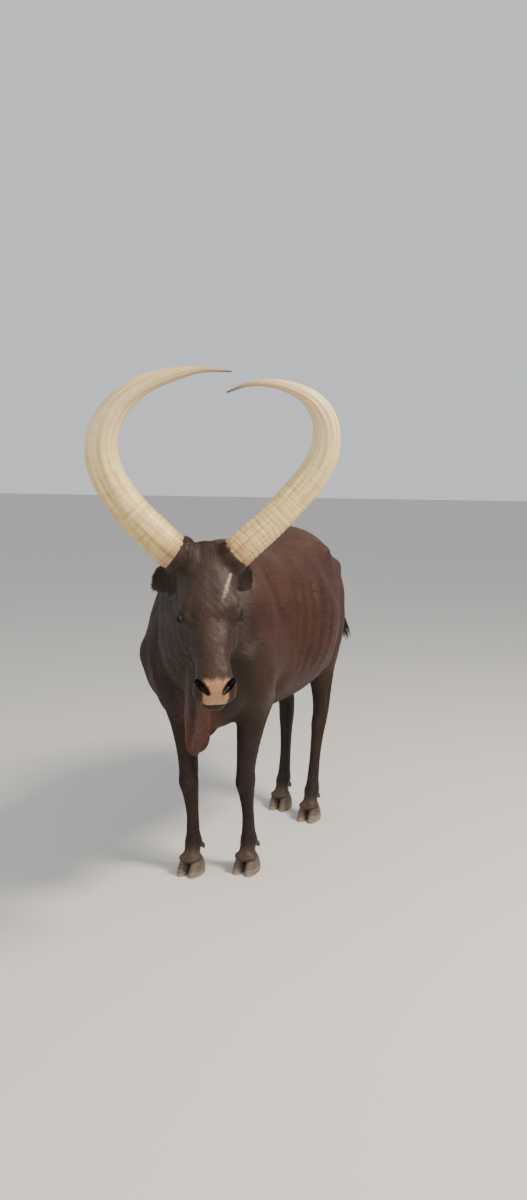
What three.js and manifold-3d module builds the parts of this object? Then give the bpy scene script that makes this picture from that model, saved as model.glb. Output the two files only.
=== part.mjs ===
// Ankole Watusi cow, standing with its head turned to its left, as one life-size still model.
// Millimetres, +Z up. The cow faces -Y and its left side is +X. The feet stand on z = 0.
import * as THREE from 'three';
import { mergeVertices } from 'three/addons/utils/BufferGeometryUtils.js';
import Module from 'manifold-3d';

const wasm = await Module();
wasm.setup();

// Driving dimensions of the body
const WITHERS_HEIGHT = 1272;
const HIP_HEIGHT = 1300;
const CHEST_FLOOR = 585;
const BARREL_HALF_WIDTH = 300;
const SHOULDER_HALF_WIDTH = 238;
const RUMP_END = 1275;

// Driving dimensions of the head
const POLL = new THREE.Vector3(262, -402, 1318);
const HEAD_TURN = THREE.MathUtils.degToRad(34);
const FACE_SLOPE = THREE.MathUtils.degToRad(27);
const FACE_LENGTH = 500;
const EYE_RADIUS = 21;
const EYE_DOWN_FACE = 234;
const EYE_HALF_SPACING = 80;
const EYE_DEPTH = 50;

// Driving dimensions of the limbs and the tail
const HOOF_HEIGHT = 68;
const CLAW_SPACING = 25;
const PARTING_GAP = 0.3;

// Directions of the head: to its left, out of its forehead, and down its face
const UP = new THREE.Vector3(0, 0, 1);
const FORWARD = new THREE.Vector3(0, -1, 0);
const BACKWARD = new THREE.Vector3(0, 1, 0);
const LEFT = new THREE.Vector3(Math.cos(HEAD_TURN), Math.sin(HEAD_TURN), 0);
const AHEAD = new THREE.Vector3(Math.sin(HEAD_TURN), -Math.cos(HEAD_TURN), 0);
const DOWN_FACE = AHEAD.clone().multiplyScalar(Math.sin(FACE_SLOPE))
  .addScaledVector(UP, -Math.cos(FACE_SLOPE));
const OFF_FACE = AHEAD.clone().multiplyScalar(Math.cos(FACE_SLOPE))
  .addScaledVector(UP, Math.sin(FACE_SLOPE));

const COLOURS = {
  coat: 0x4a3630,
  darkCoat: 0x2f2723,
  horn: 0xe6d6a8,
  hoof: 0x6b6056,
  eye: 0x14100e,
};

// A point of the head: across to its left, down its face, and off its forehead.
function onHead(across, down, off) {
  return POLL.clone().addScaledVector(LEFT, across).addScaledVector(DOWN_FACE, down)
    .addScaledVector(OFF_FACE, off);
}

// A point beside the poll in upright axes: across to its left, up, and ahead.
function byPoll(across, up, ahead) {
  return POLL.clone().addScaledVector(LEFT, across).addScaledVector(UP, up)
    .addScaledVector(AHEAD, ahead);
}

// A closed triangle mesh, turned into a solid that can be joined and cut.
function solid(positions, triangles) {
  const mesh = new wasm.Mesh({
    numProp: 3,
    vertProperties: new Float32Array(positions),
    triVerts: new Uint32Array(triangles),
  });
  return new wasm.Manifold(mesh);
}

// A three.js geometry as a solid, moved by a matrix.
function geometrySolid(geometry, matrix) {
  const bare = geometry.clone();
  bare.deleteAttribute('normal');
  bare.deleteAttribute('uv');
  const merged = mergeVertices(bare, 1e-4);
  merged.applyMatrix4(matrix);
  return solid(merged.attributes.position.array, merged.index.array);
}

// A smooth body through cross-sections. Each section is
// [centre, half width, reach on the hint's side, reach on the other side].
// Sections lie square to the path, or to axis where one is given. grow thickens the body
// evenly, and squareness above 2 makes its sections boxier.
function loft(sections, { hint = UP, axis = null, rings = 16, sides = 20, grow = 0, squareness = 2 } = {}) {
  const path = new THREE.CatmullRomCurve3(sections.map((s) => s[0]), false, 'centripetal');
  const sizes = new THREE.CatmullRomCurve3(
    sections.map((s) => new THREE.Vector3(s[1], s[2], s[3])), false, 'catmullrom', 0.4);
  const positions = [];
  const triangles = [];
  for (let ring = 0; ring < rings; ring += 1) {
    const t = ring / (rings - 1);
    const centre = path.getPoint(t);
    const tangent = axis || path.getTangent(t);
    const across = new THREE.Vector3().crossVectors(tangent, hint).normalize();
    const rise = new THREE.Vector3().crossVectors(across, tangent).normalize();
    const size = sizes.getPoint(t);
    for (let side = 0; side < sides; side += 1) {
      const angle = (side / sides) * Math.PI * 2;
      const c = Math.cos(angle);
      const s = Math.sin(angle);
      const fit = (Math.abs(c) ** squareness + Math.abs(s) ** squareness) ** (-1 / squareness);
      const reach = s > 0 ? size.y : size.z;
      const point = centre.clone().addScaledVector(across, c * fit * (Math.max(size.x, 1) + grow))
        .addScaledVector(rise, s * fit * (Math.max(reach, 1) + grow));
      positions.push(point.x, point.y, point.z);
    }
  }
  const first = positions.length / 3;
  const startCap = path.getPoint(0).addScaledVector(axis || path.getTangent(0), -grow);
  const endCap = path.getPoint(1).addScaledVector(axis || path.getTangent(1), grow);
  positions.push(startCap.x, startCap.y, startCap.z, endCap.x, endCap.y, endCap.z);
  for (let side = 0; side < sides; side += 1) {
    const next = (side + 1) % sides;
    for (let ring = 0; ring < rings - 1; ring += 1) {
      const a = ring * sides + side;
      const b = ring * sides + next;
      triangles.push(a, b, a + sides, b, b + sides, a + sides);
    }
    const last = (rings - 1) * sides;
    triangles.push(first, next, side, first + 1, last + side, last + next);
  }
  return facingOut(positions, triangles);
}

// A closed mesh whose faces are turned to point out, as a solid.
function facingOut(positions, triangles) {
  let volume = 0;
  const corner = (i) => new THREE.Vector3(positions[3 * i], positions[3 * i + 1], positions[3 * i + 2]);
  for (let i = 0; i < triangles.length; i += 3) {
    const [a, b, c] = [corner(triangles[i]), corner(triangles[i + 1]), corner(triangles[i + 2])];
    volume += a.dot(b.cross(c));
  }
  if (volume > 0) return solid(positions, triangles);
  const turned = [];
  for (let i = 0; i < triangles.length; i += 3) {
    turned.push(triangles[i], triangles[i + 2], triangles[i + 1]);
  }
  return solid(positions, turned);
}

// An egg of three radii along the head's axes or the body's, centred on a point.
function egg(centre, radii, axes = null, segments = 16) {
  const geometry = new THREE.SphereGeometry(1, segments, Math.max(8, segments / 2));
  const scale = new THREE.Matrix4().makeScale(radii[0], radii[1], radii[2]);
  const turn = new THREE.Matrix4();
  if (axes) turn.makeBasis(axes[0], axes[1], axes[2]);
  const move = new THREE.Matrix4().makeTranslation(centre.x, centre.y, centre.z);
  return geometrySolid(geometry, move.multiply(turn).multiply(scale));
}

// A block that fills one region, used to part the body into its nodes.
function block(centre, sizes, axes = null, grow = 0) {
  const geometry = new THREE.BoxGeometry(sizes[0] + grow * 2, sizes[1] + grow * 2, sizes[2] + grow * 2);
  const turn = new THREE.Matrix4();
  if (axes) turn.makeBasis(axes[0], axes[1], axes[2]);
  const move = new THREE.Matrix4().makeTranslation(centre.x, centre.y, centre.z);
  return geometrySolid(geometry, move.multiply(turn));
}

// The largest closed surface of a solid.
function largest(whole) {
  const pieces = whole.decompose();
  return pieces.reduce((best, piece) => (piece.volume() > best.volume() ? piece : best));
}

const V = (x, y, z) => new THREE.Vector3(x, y, z);
const HEAD_AXES = [LEFT, DOWN_FACE.clone().negate(), OFF_FACE];

// Trunk from the point of the shoulders to the rump.
function trunk(grow = 0) {
  const w = WITHERS_HEIGHT;
  const h = HIP_HEIGHT;
  const f = CHEST_FLOOR;
  const section = (y, level, half, top, bottom) => [V(0, y, level), half, top - level, level - bottom];
  return loft([
    section(-110, 850, 60, 950, 740),
    section(-85, 860, 140, 1070, 650),
    section(0, 880, SHOULDER_HALF_WIDTH * 0.9, 1195, f + 10),
    section(100, 900, SHOULDER_HALF_WIDTH * 0.98, w - 12, f),
    section(240, 910, SHOULDER_HALF_WIDTH, w, f - 5),
    section(420, 915, BARREL_HALF_WIDTH - 32, w - 22, f),
    section(600, 920, BARREL_HALF_WIDTH, h - 25, f + 12),
    section(760, 935, BARREL_HALF_WIDTH - 32, h, f + 48),
    section(900, 960, 212, h - 16, 700),
    section(1030, 985, 156, h - 58, 770),
    section(1140, 1000, 120, h - 105, 840),
    section(RUMP_END - 35, 1010, 94, 1135, 900),
    section(RUMP_END, 1010, 45, 1070, 950),
  ], { axis: BACKWARD, rings: 23, sides: 24, squareness: 2.15, grow });
}

// Neck from inside the shoulders to inside the back of the head.
function neck(grow = 0) {
  return loft([
    [V(0, 240, 1000), 150, 250, 300],
    [V(2, 70, 1005), 160, 245, 300],
    [V(32, -80, 1035), 130, 210, 270],
    [V(92, -195, 1090), 98, 180, 220],
    [V(162, -290, 1160), 84, 148, 180],
    [V(225, -362, 1215), 78, 95, 130],
  ], { rings: 10, sides: 20, grow });
}

// Loose fold of skin under the throat that runs down to the brisket.
function dewlap() {
  return loft([
    [V(205, -345, 1045), 10, 30, 40],
    [V(155, -295, 930), 20, 60, 68],
    [V(104, -220, 815), 26, 70, 120],
    [V(60, -130, 735), 32, 70, 190],
    [V(30, -25, 685), 40, 60, 170],
    [V(10, 90, 655), 46, 45, 82],
    [V(0, 180, 650), 20, 25, 30],
  ], { rings: 12, sides: 12 });
}

// Skull, cheeks and muzzle as one lofted form down the face.
function skull(grow = 0) {
  const section = (down, half, depth, dip = 0) => {
    const middle = depth * 0.42;
    return [onHead(0, down, -middle - dip), half, middle, depth - middle];
  };
  return loft([
    section(-20, 30, 60, 16),
    section(-6, 54, 100, 6),
    section(30, 76, 150),
    section(72, 95, 182),
    section(105, 100, 198),
    section(150, 95, 215, -4),
    section(205, 95, 228, -5),
    section(255, 84, 210),
    section(310, 68, 172, -2),
    section(370, 57, 142),
    section(425, 60, 120),
    section(448, 68, 114, 5),
    section(468, 70, 96, 18),
    section(484, 66, 76, 34),
    section(FACE_LENGTH - 7, 54, 56, 50),
    section(FACE_LENGTH, 34, 32, 68),
  ], { hint: OFF_FACE, rings: 22, sides: 22, squareness: 2.35, grow });
}

// Lower lip and chin under the muzzle.
function chin() {
  const section = (down, half, off, up, under) => [onHead(0, down, off), half, up, under];
  return loft([
    section(300, 30, -135, 18, 22),
    section(370, 40, -112, 22, 26),
    section(430, 46, -102, 22, 34),
    section(480, 45, -106, 20, 37),
    section(506, 36, -112, 16, 30),
    section(520, 18, -118, 8, 18),
  ], { hint: OFF_FACE, rings: 9, sides: 14 });
}

const eyeCentre = (side) => onHead(side * EYE_HALF_SPACING, EYE_DOWN_FACE, -EYE_DEPTH);
const eyeOutward = (side) => LEFT.clone().multiplyScalar(side * 0.86).addScaledVector(OFF_FACE, 0.5)
  .addScaledVector(DOWN_FACE, -0.05).normalize();

// Brow, eyelids and cheek muscle on one side of the head.
function sideFeatures(side) {
  const brow = loft([
    [onHead(side * 50, EYE_DOWN_FACE - 90, -32), 16, 12, 18],
    [onHead(side * 62, EYE_DOWN_FACE - 48, -29), 26, 16, 26],
    [onHead(side * 73, EYE_DOWN_FACE - 10, -33), 24, 17, 26],
    [onHead(side * 66, EYE_DOWN_FACE + 36, -46), 14, 12, 16],
  ], { hint: OFF_FACE, rings: 7, sides: 10 });
  const cheek = egg(onHead(side * 66, 232, -140), [30, 95, 62], HEAD_AXES, 12);
  const lids = egg(eyeCentre(side), [26, 26, 26], HEAD_AXES, 14);
  return wasm.Manifold.union([brow, cheek, lids]);
}

// Almond opening between the lids, long along the face.
function lidOpening(side) {
  const out = eyeOutward(side);
  const along = DOWN_FACE.clone().addScaledVector(OFF_FACE, 0.35)
    .addScaledVector(LEFT, -side * 0.3);
  along.addScaledVector(out, -along.dot(out)).normalize();
  const across = new THREE.Vector3().crossVectors(out, along).normalize();
  return egg(eyeCentre(side).addScaledVector(out, 25), [21, 13, 12], [along, across, out], 12);
}

// Eyeball behind the lids.
function eyeBall(side, grow = 0) {
  const r = EYE_RADIUS + grow;
  return egg(eyeCentre(side), [r, r, r], HEAD_AXES, 14);
}

// Comma-shaped nostril that curls back and out along the side of the muzzle.
function nostril(side) {
  return loft([
    [onHead(side * 24, 481, -37), 6, 7, 10],
    [onHead(side * 32, 471, -29), 9, 9, 13],
    [onHead(side * 43, 458, -24), 10.5, 9, 15],
    [onHead(side * 53, 446, -26), 8, 8, 12],
    [onHead(side * 61, 437, -33), 4, 4, 6],
  ], { hint: OFF_FACE, rings: 8, sides: 10 });
}

// Groove of the mouth, between the upper lip and the chin, round the front of the muzzle.
function mouthLine() {
  const points = [];
  for (let step = -5; step <= 5; step += 1) {
    const bend = step / 5;
    const down = 497 - Math.abs(bend) ** 2.4 * 125;
    points.push([onHead(bend * 66, down, -99 - Math.abs(bend) * 5), 9, 2.4, 2.4]);
  }
  return loft(points, { hint: OFF_FACE, rings: 13, sides: 6 });
}

// Horn sections beside the poll: [outward, up, ahead, radius].
const RIGHT_HORN = [
  [62, -60, -24, 50],
  [113, -25, -24, 60],
  [166, 26, -24, 59.5],
  [224, 84, -24, 57.5],
  [273, 145, -24, 55],
  [308, 206, -18, 54],
  [326, 264, -6, 53],
  [326, 322, 9, 51],
  [305, 384, 27, 46],
  [264, 439, 46, 38],
  [210, 480, 62, 31],
  [150, 505, 72, 25],
  [90, 521, 80, 18.5],
  [30, 530, 84, 10],
  [-66, 526, 84, 2.5],
];
const LEFT_HORN = [
  [56, -68, -24, 46],
  [88, -40, -24, 54],
  [140, 6, -24, 53],
  [198, 56, -24, 52],
  [260, 118, -24, 51],
  [312, 175, -22, 51],
  [347, 222, -16, 51],
  [370, 272, -5, 49],
  [377, 324, 9, 45],
  [371, 372, 24, 41],
  [352, 412, 37, 36.5],
  [321, 445, 50, 30],
  [280, 470, 59, 23],
  [229, 487, 66, 17],
  [180, 494, 69, 12.5],
  [120, 490, 68, 8],
  [53, 465, 57, 2.5],
];

// One horn, thick at the base and swept out, up and in to its tip.
function horn(side, sections, grow = 0) {
  const stations = sections.map(([out, up, ahead, r]) => [byPoll(side * out, up, ahead), r, r, r]);
  return loft(stations, { hint: AHEAD, rings: 24, sides: 14, grow });
}

// A block whose near face squarely crosses the horn at one section and covers the rest of it.
function beyondHorn(side, sections, index, setBack) {
  const place = ([out, up, ahead]) => byPoll(side * out, up, ahead);
  const here = place(sections[index]);
  const along = place(sections[index + 1]).sub(here).normalize();
  const across = new THREE.Vector3().crossVectors(along, AHEAD).normalize();
  const third = new THREE.Vector3().crossVectors(along, across);
  const length = 900;
  const centre = here.clone().addScaledVector(along, length / 2 + setBack);
  return block(centre, [length, length, length], [along, across, third]);
}

// Collar of skin round the base of a horn, and how far from its second section it ends.
const COLLAR_DEPTH = 5;
const COLLAR_END = { '-1': -12, 1: 0 };
function hornCollar(side, sections) {
  return horn(side, sections, COLLAR_DEPTH).subtract(beyondHorn(side, sections, 1, COLLAR_END[side]));
}

// The three lengths of a horn: base, middle and tip, parted at two of its sections.
const HORN_JOINTS = { '-1': [5, 9], 1: [6, 11] };
function hornLengths(side, sections) {
  const whole = horn(side, sections);
  const half = PARTING_GAP / 2;
  const [low, high] = HORN_JOINTS[side];
  const upper = whole.intersect(beyondHorn(side, sections, low, half));
  return {
    base: whole.subtract(beyondHorn(side, sections, low, -half)),
    middle: upper.subtract(beyondHorn(side, sections, high, -half)),
    tip: upper.intersect(beyondHorn(side, sections, high, half)),
  };
}

// Leaf-shaped ear that hangs back and down under the horn.
const EAR_LEAF = [[-20, 20], [12, 24], [48, 36], [92, 44], [136, 36], [168, 20], [188, 6]];
function earAxes(side) {
  const along = LEFT.clone().multiplyScalar(side * 0.40).addScaledVector(UP, -0.46)
    .addScaledVector(AHEAD, -0.79).normalize();
  const open = LEFT.clone().multiplyScalar(side * 0.55).addScaledVector(AHEAD, 0.6)
    .addScaledVector(UP, -0.25);
  open.addScaledVector(along, -open.dot(along)).normalize();
  return { root: byPoll(side * 88, -80, -62), along, open };
}

function earLeaf(side, grow = 0) {
  const { root, along, open } = earAxes(side);
  return loft(EAR_LEAF.map(([distance, half]) => [
    root.clone().addScaledVector(along, distance), half, half * 0.34 + 4, half * 0.34 + 5,
  ]), { hint: open, rings: 9, sides: 12, grow });
}

// Hollow of the ear, open along its front.
function earCup(side) {
  const { root, along, open } = earAxes(side);
  return loft(EAR_LEAF.slice(1).map(([distance, half]) => {
    const lip = Math.max(half - 8, 2);
    const place = root.clone().addScaledVector(along, distance + 4)
      .addScaledVector(open, half * 0.42 + 5);
    return [place, lip, lip * 0.5 + 2, lip * 0.72 + 1];
  }), { hint: open, rings: 7, sides: 10 });
}

// Where each leg stands: its side, whether it is a foreleg, and its hoof's place.
const LEGS = [
  { name: 'foreleg_left', side: 1, fore: true, hoof: [112, 182] },
  { name: 'foreleg_right', side: -1, fore: true, hoof: [-74, 76] },
  { name: 'hindleg_left', side: 1, fore: false, hoof: [101, 838] },
  { name: 'hindleg_right', side: -1, fore: false, hoof: [-78, 930] },
];
const PLAIN_FOOT = { fore: [112, 118], hind: [98, 880] };

// Leg sections from the body down: [out, behind the plain foot, height, half width, front, back].
const FORE_SECTIONS = [
  [158, -10, 1010, 62, 80, 90],
  [172, -45, 880, 80, 115, 125],
  [172, -34, 760, 76, 100, 120],
  [154, 12, 660, 62, 80, 100],
  [136, 14, 560, 48, 58, 68],
  [122, 4, 460, 38, 45, 48],
  [116, -4, 395, 35, 41, 40],
  [114, -6, 355, 37, 44, 38],
  [113, 2, 308, 30, 32, 34],
  [112, 10, 235, 23, 26, 31],
  [112, 12, 165, 25, 28, 33],
  [112, 14, 120, 32, 35, 40],
  [112, 4, 88, 31, 33, 34],
  [112, -10, 62, 41, 42, 42],
  [112, -12, 50, 37, 38, 38],
];
const HIND_SECTIONS = [
  [84, 150, 1120, 56, 110, 100],
  [90, 150, 990, 80, 175, 150],
  [96, 130, 860, 78, 172, 148],
  [100, 98, 745, 70, 132, 115],
  [102, 92, 640, 52, 84, 82],
  [102, 104, 545, 40, 54, 58],
  [101, 106, 475, 34, 46, 54],
  [100, 94, 420, 31, 45, 50],
  [99, 78, 360, 27, 35, 38],
  [98, 58, 270, 24, 28, 31],
  [98, 38, 175, 26, 30, 34],
  [98, 28, 124, 32, 36, 40],
  [98, 12, 90, 31, 33, 34],
  [98, -6, 62, 41, 42, 42],
  [98, -8, 50, 37, 38, 38],
];

// One leg from inside the body to the coronet over its hoof.
function leg({ side, fore, hoof }, grow = 0) {
  const sections = fore ? FORE_SECTIONS : HIND_SECTIONS;
  const plain = fore ? PLAIN_FOOT.fore : PLAIN_FOOT.hind;
  const stations = sections.map(([out, behind, height, half, front, back]) => {
    const settle = THREE.MathUtils.smoothstep(1000 - height, 100, 850);
    const x = side * out + (hoof[0] - side * plain[0]) * settle;
    const y = plain[1] + behind + (hoof[1] - plain[1]) * settle;
    return [V(x, y, height), half, front, back];
  });
  return loft(stations, { hint: FORWARD, axis: UP, rings: 19, sides: 14, squareness: 2.1, grow });
}

// One claw of a cloven hoof, with a flat sole on the floor.
function claw({ hoof }, which, grow = 0) {
  const x = hoof[0] + which * CLAW_SPACING;
  const y = hoof[1];
  return loft([
    [V(x, y, 0), 22, 62, 46],
    [V(x, y + 2, 16), 22.5, 57, 46],
    [V(x - which, y + 3, 44), 20, 44, 40],
    [V(x - which * 3, y + 2, HOOF_HEIGHT), 16, 28, 28],
  ], { hint: FORWARD, axis: UP, rings: 5, sides: 12, grow, squareness: 2.2 });
}

// One of the two small dewclaws behind the fetlock.
function dewclaw({ hoof }, which, grow = 0) {
  return loft([
    [V(hoof[0] + which * 15, hoof[1] + 30, 112), 10, 10, 10],
    [V(hoof[0] + which * 19, hoof[1] + 52, 98), 11, 10, 10],
    [V(hoof[0] + which * 20, hoof[1] + 64, 84), 5, 5, 5],
  ], { hint: FORWARD, rings: 4, sides: 8, grow });
}

// Small bag between the thighs with its four teats.
function udder() {
  const bag = loft([
    [V(0, 740, 690), 40, 60, 20],
    [V(0, 810, 690), 80, 60, 55],
    [V(0, 900, 705), 90, 60, 80],
    [V(0, 980, 740), 70, 60, 76],
    [V(0, 1040, 790), 40, 40, 40],
  ], { rings: 7, sides: 14 });
  const teats = [[-1, 845], [1, 845], [-1, 925], [1, 925]].map(([side, y]) => loft([
    [V(side * 36, y, 665), 13, 13, 13],
    [V(side * 40, y, 625), 11, 11, 11],
    [V(side * 41, y, 590), 8, 8, 8],
  ], { hint: FORWARD, rings: 3, sides: 8 }));
  return wasm.Manifold.union([bag, ...teats]);
}

// Tail from the tail head, carried a little out behind the thighs.
const TAIL_PATH = [
  V(0, 1130, 1120), V(0, 1215, 1140), V(0, 1285, 1105), V(2, 1330, 1020),
  V(4, 1368, 935), V(4, 1415, 862),
];
const TAIL_RADII = [40, 32, 26, 21, 17, 14];
function tail(grow = 0) {
  return loft(TAIL_PATH.map((point, i) => [point, TAIL_RADII[i], TAIL_RADII[i], TAIL_RADII[i]]),
    { rings: 11, sides: 10, grow });
}

// Hair of the tail switch, as flat tapered locks that overlap and hang from the tail's end.
const SWITCH_LOCKS = 9;
function tailSwitch() {
  const root = TAIL_PATH[TAIL_PATH.length - 1];
  const along = (distance) => V(0, distance * 0.66, -distance * 0.72);
  const core = loft([
    [root.clone().add(along(-28)), 17, 17, 17],
    [root.clone().add(along(0)), 21, 20, 20],
    [root.clone().add(along(48)), 25, 22, 22],
    [root.clone().add(along(110)), 17, 15, 15],
    [root.clone().add(along(150)), 4, 4, 4],
  ], { rings: 9, sides: 12 });
  const locks = [];
  for (let i = 0; i < SWITCH_LOCKS; i += 1) {
    const angle = (i / SWITCH_LOCKS) * Math.PI * 2;
    const outward = V(Math.cos(angle), Math.sin(angle) * 0.74, Math.sin(angle) * 0.67);
    const length = 185 + 30 * Math.cos(i * 1.7);
    const spread = 19 + 4 * Math.sin(i * 2.4);
    const at = (share, fan) => root.clone().add(along(length * share))
      .addScaledVector(outward, spread * fan);
    locks.push(loft([
      [at(0.0, 0.5), 7, 4, 4],
      [at(0.35, 1.05), 11, 5, 5],
      [at(0.7, 1.1), 8, 4, 4],
      [at(1.15, 0.55), 1.5, 1.2, 1.2],
    ], { hint: outward, rings: 4, sides: 6 }));
  }
  return wasm.Manifold.union([core, ...locks]);
}

// The flesh as one body, with sockets for what is seated in it.
const SIDES = [['right', -1], ['left', 1]];
const HORNS = { right: RIGHT_HORN, left: LEFT_HORN };
let flesh = wasm.Manifold.union([
  trunk(), neck(), skull(), chin(), sideFeatures(-1), sideFeatures(1),
  hornCollar(-1, RIGHT_HORN), hornCollar(1, LEFT_HORN),
  ...LEGS.map((each) => leg(each)),
]);
for (const [name, side] of SIDES) {
  flesh = flesh.subtract(lidOpening(side)).subtract(eyeBall(side, PARTING_GAP))
    .subtract(nostril(side)).subtract(earLeaf(side, PARTING_GAP))
    .subtract(horn(side, HORNS[name], PARTING_GAP));
}
flesh = flesh.subtract(mouthLine());

const parts = [];
const keep = (name, body, colour) => parts.push({ name, body: largest(body), colour });

// Claws and dewclaws, seated in the lower end of each leg.
for (const each of LEGS) {
  for (const [place, which] of [['inner', -each.side], ['outer', each.side]]) {
    const limb = each.name.replace('leg', '');
    keep(`hoof_${limb}_${place}`, claw(each, which), COLOURS.hoof);
    keep(`dewclaw_${limb}_${place}`, dewclaw(each, which), COLOURS.hoof);
    flesh = flesh.subtract(claw(each, which, PARTING_GAP))
      .subtract(dewclaw(each, which, PARTING_GAP));
  }
}

// A block that reaches from a plane to well past the body on the plane's far side.
function farSide(point, normal, hint, size, setBack) {
  const across = new THREE.Vector3().crossVectors(normal, hint).normalize();
  const third = new THREE.Vector3().crossVectors(normal, across);
  const centre = point.clone().addScaledVector(normal, size[0] / 2 + setBack);
  return block(centre, size, [normal, across, third]);
}

// Parts one node from the flesh on the far side of a plane, with the parting gap between.
function partOff(name, point, normal, hint, size, colour = COLOURS.coat) {
  const half = PARTING_GAP / 2;
  keep(name, flesh.intersect(farSide(point, normal, hint, size, half)), colour);
  flesh = flesh.subtract(farSide(point, normal, hint, size, -half));
}

// Region round a leg, on its own side of a slanted cut from the armpit or groin outward.
const LEG_MARGIN = 8;
function legRegion({ side, fore, hoof }, setBack) {
  const slope = THREE.MathUtils.degToRad(fore ? 50 : 56);
  const normal = V(side * Math.sin(slope), 0, -Math.cos(slope));
  const [x, z] = fore ? [48, 588] : [22, 655];
  const slanted = farSide(V(side * x, hoof[1], z), normal, FORWARD, [900, 1300, 900], setBack);
  const ownSide = block(V(side * (500 + setBack), 500, 600), [1000, 3000, 2000]);
  return slanted.intersect(ownSide).intersect(leg({ side, fore, hoof }, LEG_MARGIN - setBack));
}
for (const each of LEGS) {
  const half = PARTING_GAP / 2;
  keep(each.name, flesh.intersect(legRegion(each, half)), COLOURS.darkCoat);
  flesh = flesh.subtract(legRegion(each, -half));
}
// Cuts the head off behind the horns and the jaw, and the neck off in front of the shoulders.
const NAPE_NORMAL = DOWN_FACE.clone().multiplyScalar(0.47).addScaledVector(OFF_FACE, 0.88).normalize();
partOff('head', onHead(0, 0, -104), NAPE_NORMAL, LEFT, [700, 1300, 900], COLOURS.darkCoat);
partOff('neck', V(0, -20, 900), V(0.12, -0.98, 0.16).normalize(), UP, [700, 900, 900], COLOURS.darkCoat);

keep('torso', flesh, COLOURS.coat);

// Soft parts that hang on the body, cut clear of what they grow from.
function clearOf(body, others) {
  return others.reduce((rest, other) => rest.subtract(other), body);
}
const grownLegs = LEGS.map((each) => leg(each, PARTING_GAP));
const grownTrunk = trunk(PARTING_GAP);
const grownNeck = neck(PARTING_GAP);
keep('dewlap', clearOf(dewlap(), [grownNeck, grownTrunk, skull(PARTING_GAP), ...grownLegs]), COLOURS.coat);
keep('udder', clearOf(udder(), [grownTrunk, ...grownLegs]), COLOURS.coat);
keep('tail', clearOf(tail(), [grownTrunk, ...grownLegs]), COLOURS.darkCoat);
keep('tail_switch', clearOf(tailSwitch(), [tail(PARTING_GAP)]), COLOURS.darkCoat);
for (const [name, side] of SIDES) {
  const grownHorn = horn(side, HORNS[name], PARTING_GAP);
  keep(`eye_${name}`, eyeBall(side), COLOURS.eye);
  keep(`ear_${name}`, clearOf(earLeaf(side), [earCup(side), grownHorn]), COLOURS.darkCoat);
  for (const [length, body] of Object.entries(hornLengths(side, HORNS[name]))) {
    keep(`horn_${name}_${length}`, body, COLOURS.horn);
  }
}

// The named meshes, moved together so that the origin is under the middle of the whole.
const group = new THREE.Group();
for (const { name, body, colour } of parts) {
  const { vertProperties, triVerts } = body.getMesh();
  const geometry = new THREE.BufferGeometry();
  geometry.setAttribute('position', new THREE.BufferAttribute(vertProperties, 3));
  geometry.setIndex(new THREE.BufferAttribute(triVerts, 1));
  const material = new THREE.MeshStandardMaterial({ color: colour, roughness: 0.6, metalness: 0 });
  const mesh = new THREE.Mesh(geometry, material);
  mesh.name = name;
  group.add(mesh);
}
const bounds = new THREE.Box3().setFromObject(group);
const middle = bounds.getCenter(new THREE.Vector3());
group.position.set(-middle.x, -middle.y, -bounds.min.z);
group.updateMatrixWorld(true);
export default group;
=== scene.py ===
"""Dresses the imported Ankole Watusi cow: skin, coat tufts, horns, hooves and eyes."""

import logging
import math
from dataclasses import dataclass, field
from enum import Enum
from typing import Callable, Iterable, Sequence

import bmesh
import bpy
import numpy as np
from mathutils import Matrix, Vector
from mathutils.bvhtree import BVHTree

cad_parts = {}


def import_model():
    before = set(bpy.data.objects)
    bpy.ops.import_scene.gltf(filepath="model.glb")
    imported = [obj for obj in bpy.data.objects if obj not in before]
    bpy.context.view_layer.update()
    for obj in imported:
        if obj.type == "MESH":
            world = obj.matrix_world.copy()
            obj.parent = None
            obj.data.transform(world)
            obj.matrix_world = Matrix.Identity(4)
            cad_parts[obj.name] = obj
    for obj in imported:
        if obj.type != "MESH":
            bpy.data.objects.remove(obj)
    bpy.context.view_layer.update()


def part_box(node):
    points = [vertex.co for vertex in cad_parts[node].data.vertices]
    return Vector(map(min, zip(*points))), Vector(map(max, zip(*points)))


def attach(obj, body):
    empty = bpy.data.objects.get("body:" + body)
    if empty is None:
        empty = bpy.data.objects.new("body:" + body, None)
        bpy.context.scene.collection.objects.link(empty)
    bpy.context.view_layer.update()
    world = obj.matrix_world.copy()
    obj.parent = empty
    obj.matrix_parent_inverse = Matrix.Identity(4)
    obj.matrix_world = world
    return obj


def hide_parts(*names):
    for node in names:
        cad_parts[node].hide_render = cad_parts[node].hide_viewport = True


LOG = logging.getLogger("ankole")
Array = np.ndarray
UP = np.array([0.0, 0.0, 1.0])
FORWARD = np.array([0.0, -1.0, 0.0])
BACKWARD = np.array([0.0, 1.0, 0.0])


def unit(v: Sequence[float]) -> Array:
    """Returns v scaled to length one."""
    a = np.asarray(v, float)
    return a / np.linalg.norm(a)


def smooth_step(x: Array, low: float, high: float) -> Array:
    """Returns a soft ramp from 0 at low to 1 at high."""
    t = np.clip((np.asarray(x, float) - low) / (high - low), 0.0, 1.0)
    return t * t * (3 - 2 * t)


def bump(x: Array, centre: float, width: float) -> Array:
    """Returns a bell curve of height 1 round centre."""
    return np.exp(-(((np.asarray(x, float) - centre) / width) ** 2))


class Side(Enum):
    """A side of the cow."""

    RIGHT = -1
    LEFT = 1


class Join(Enum):
    """How one closed body is joined to another or cut by it."""

    ADD = "UNION"
    CUT = "DIFFERENCE"


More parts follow.
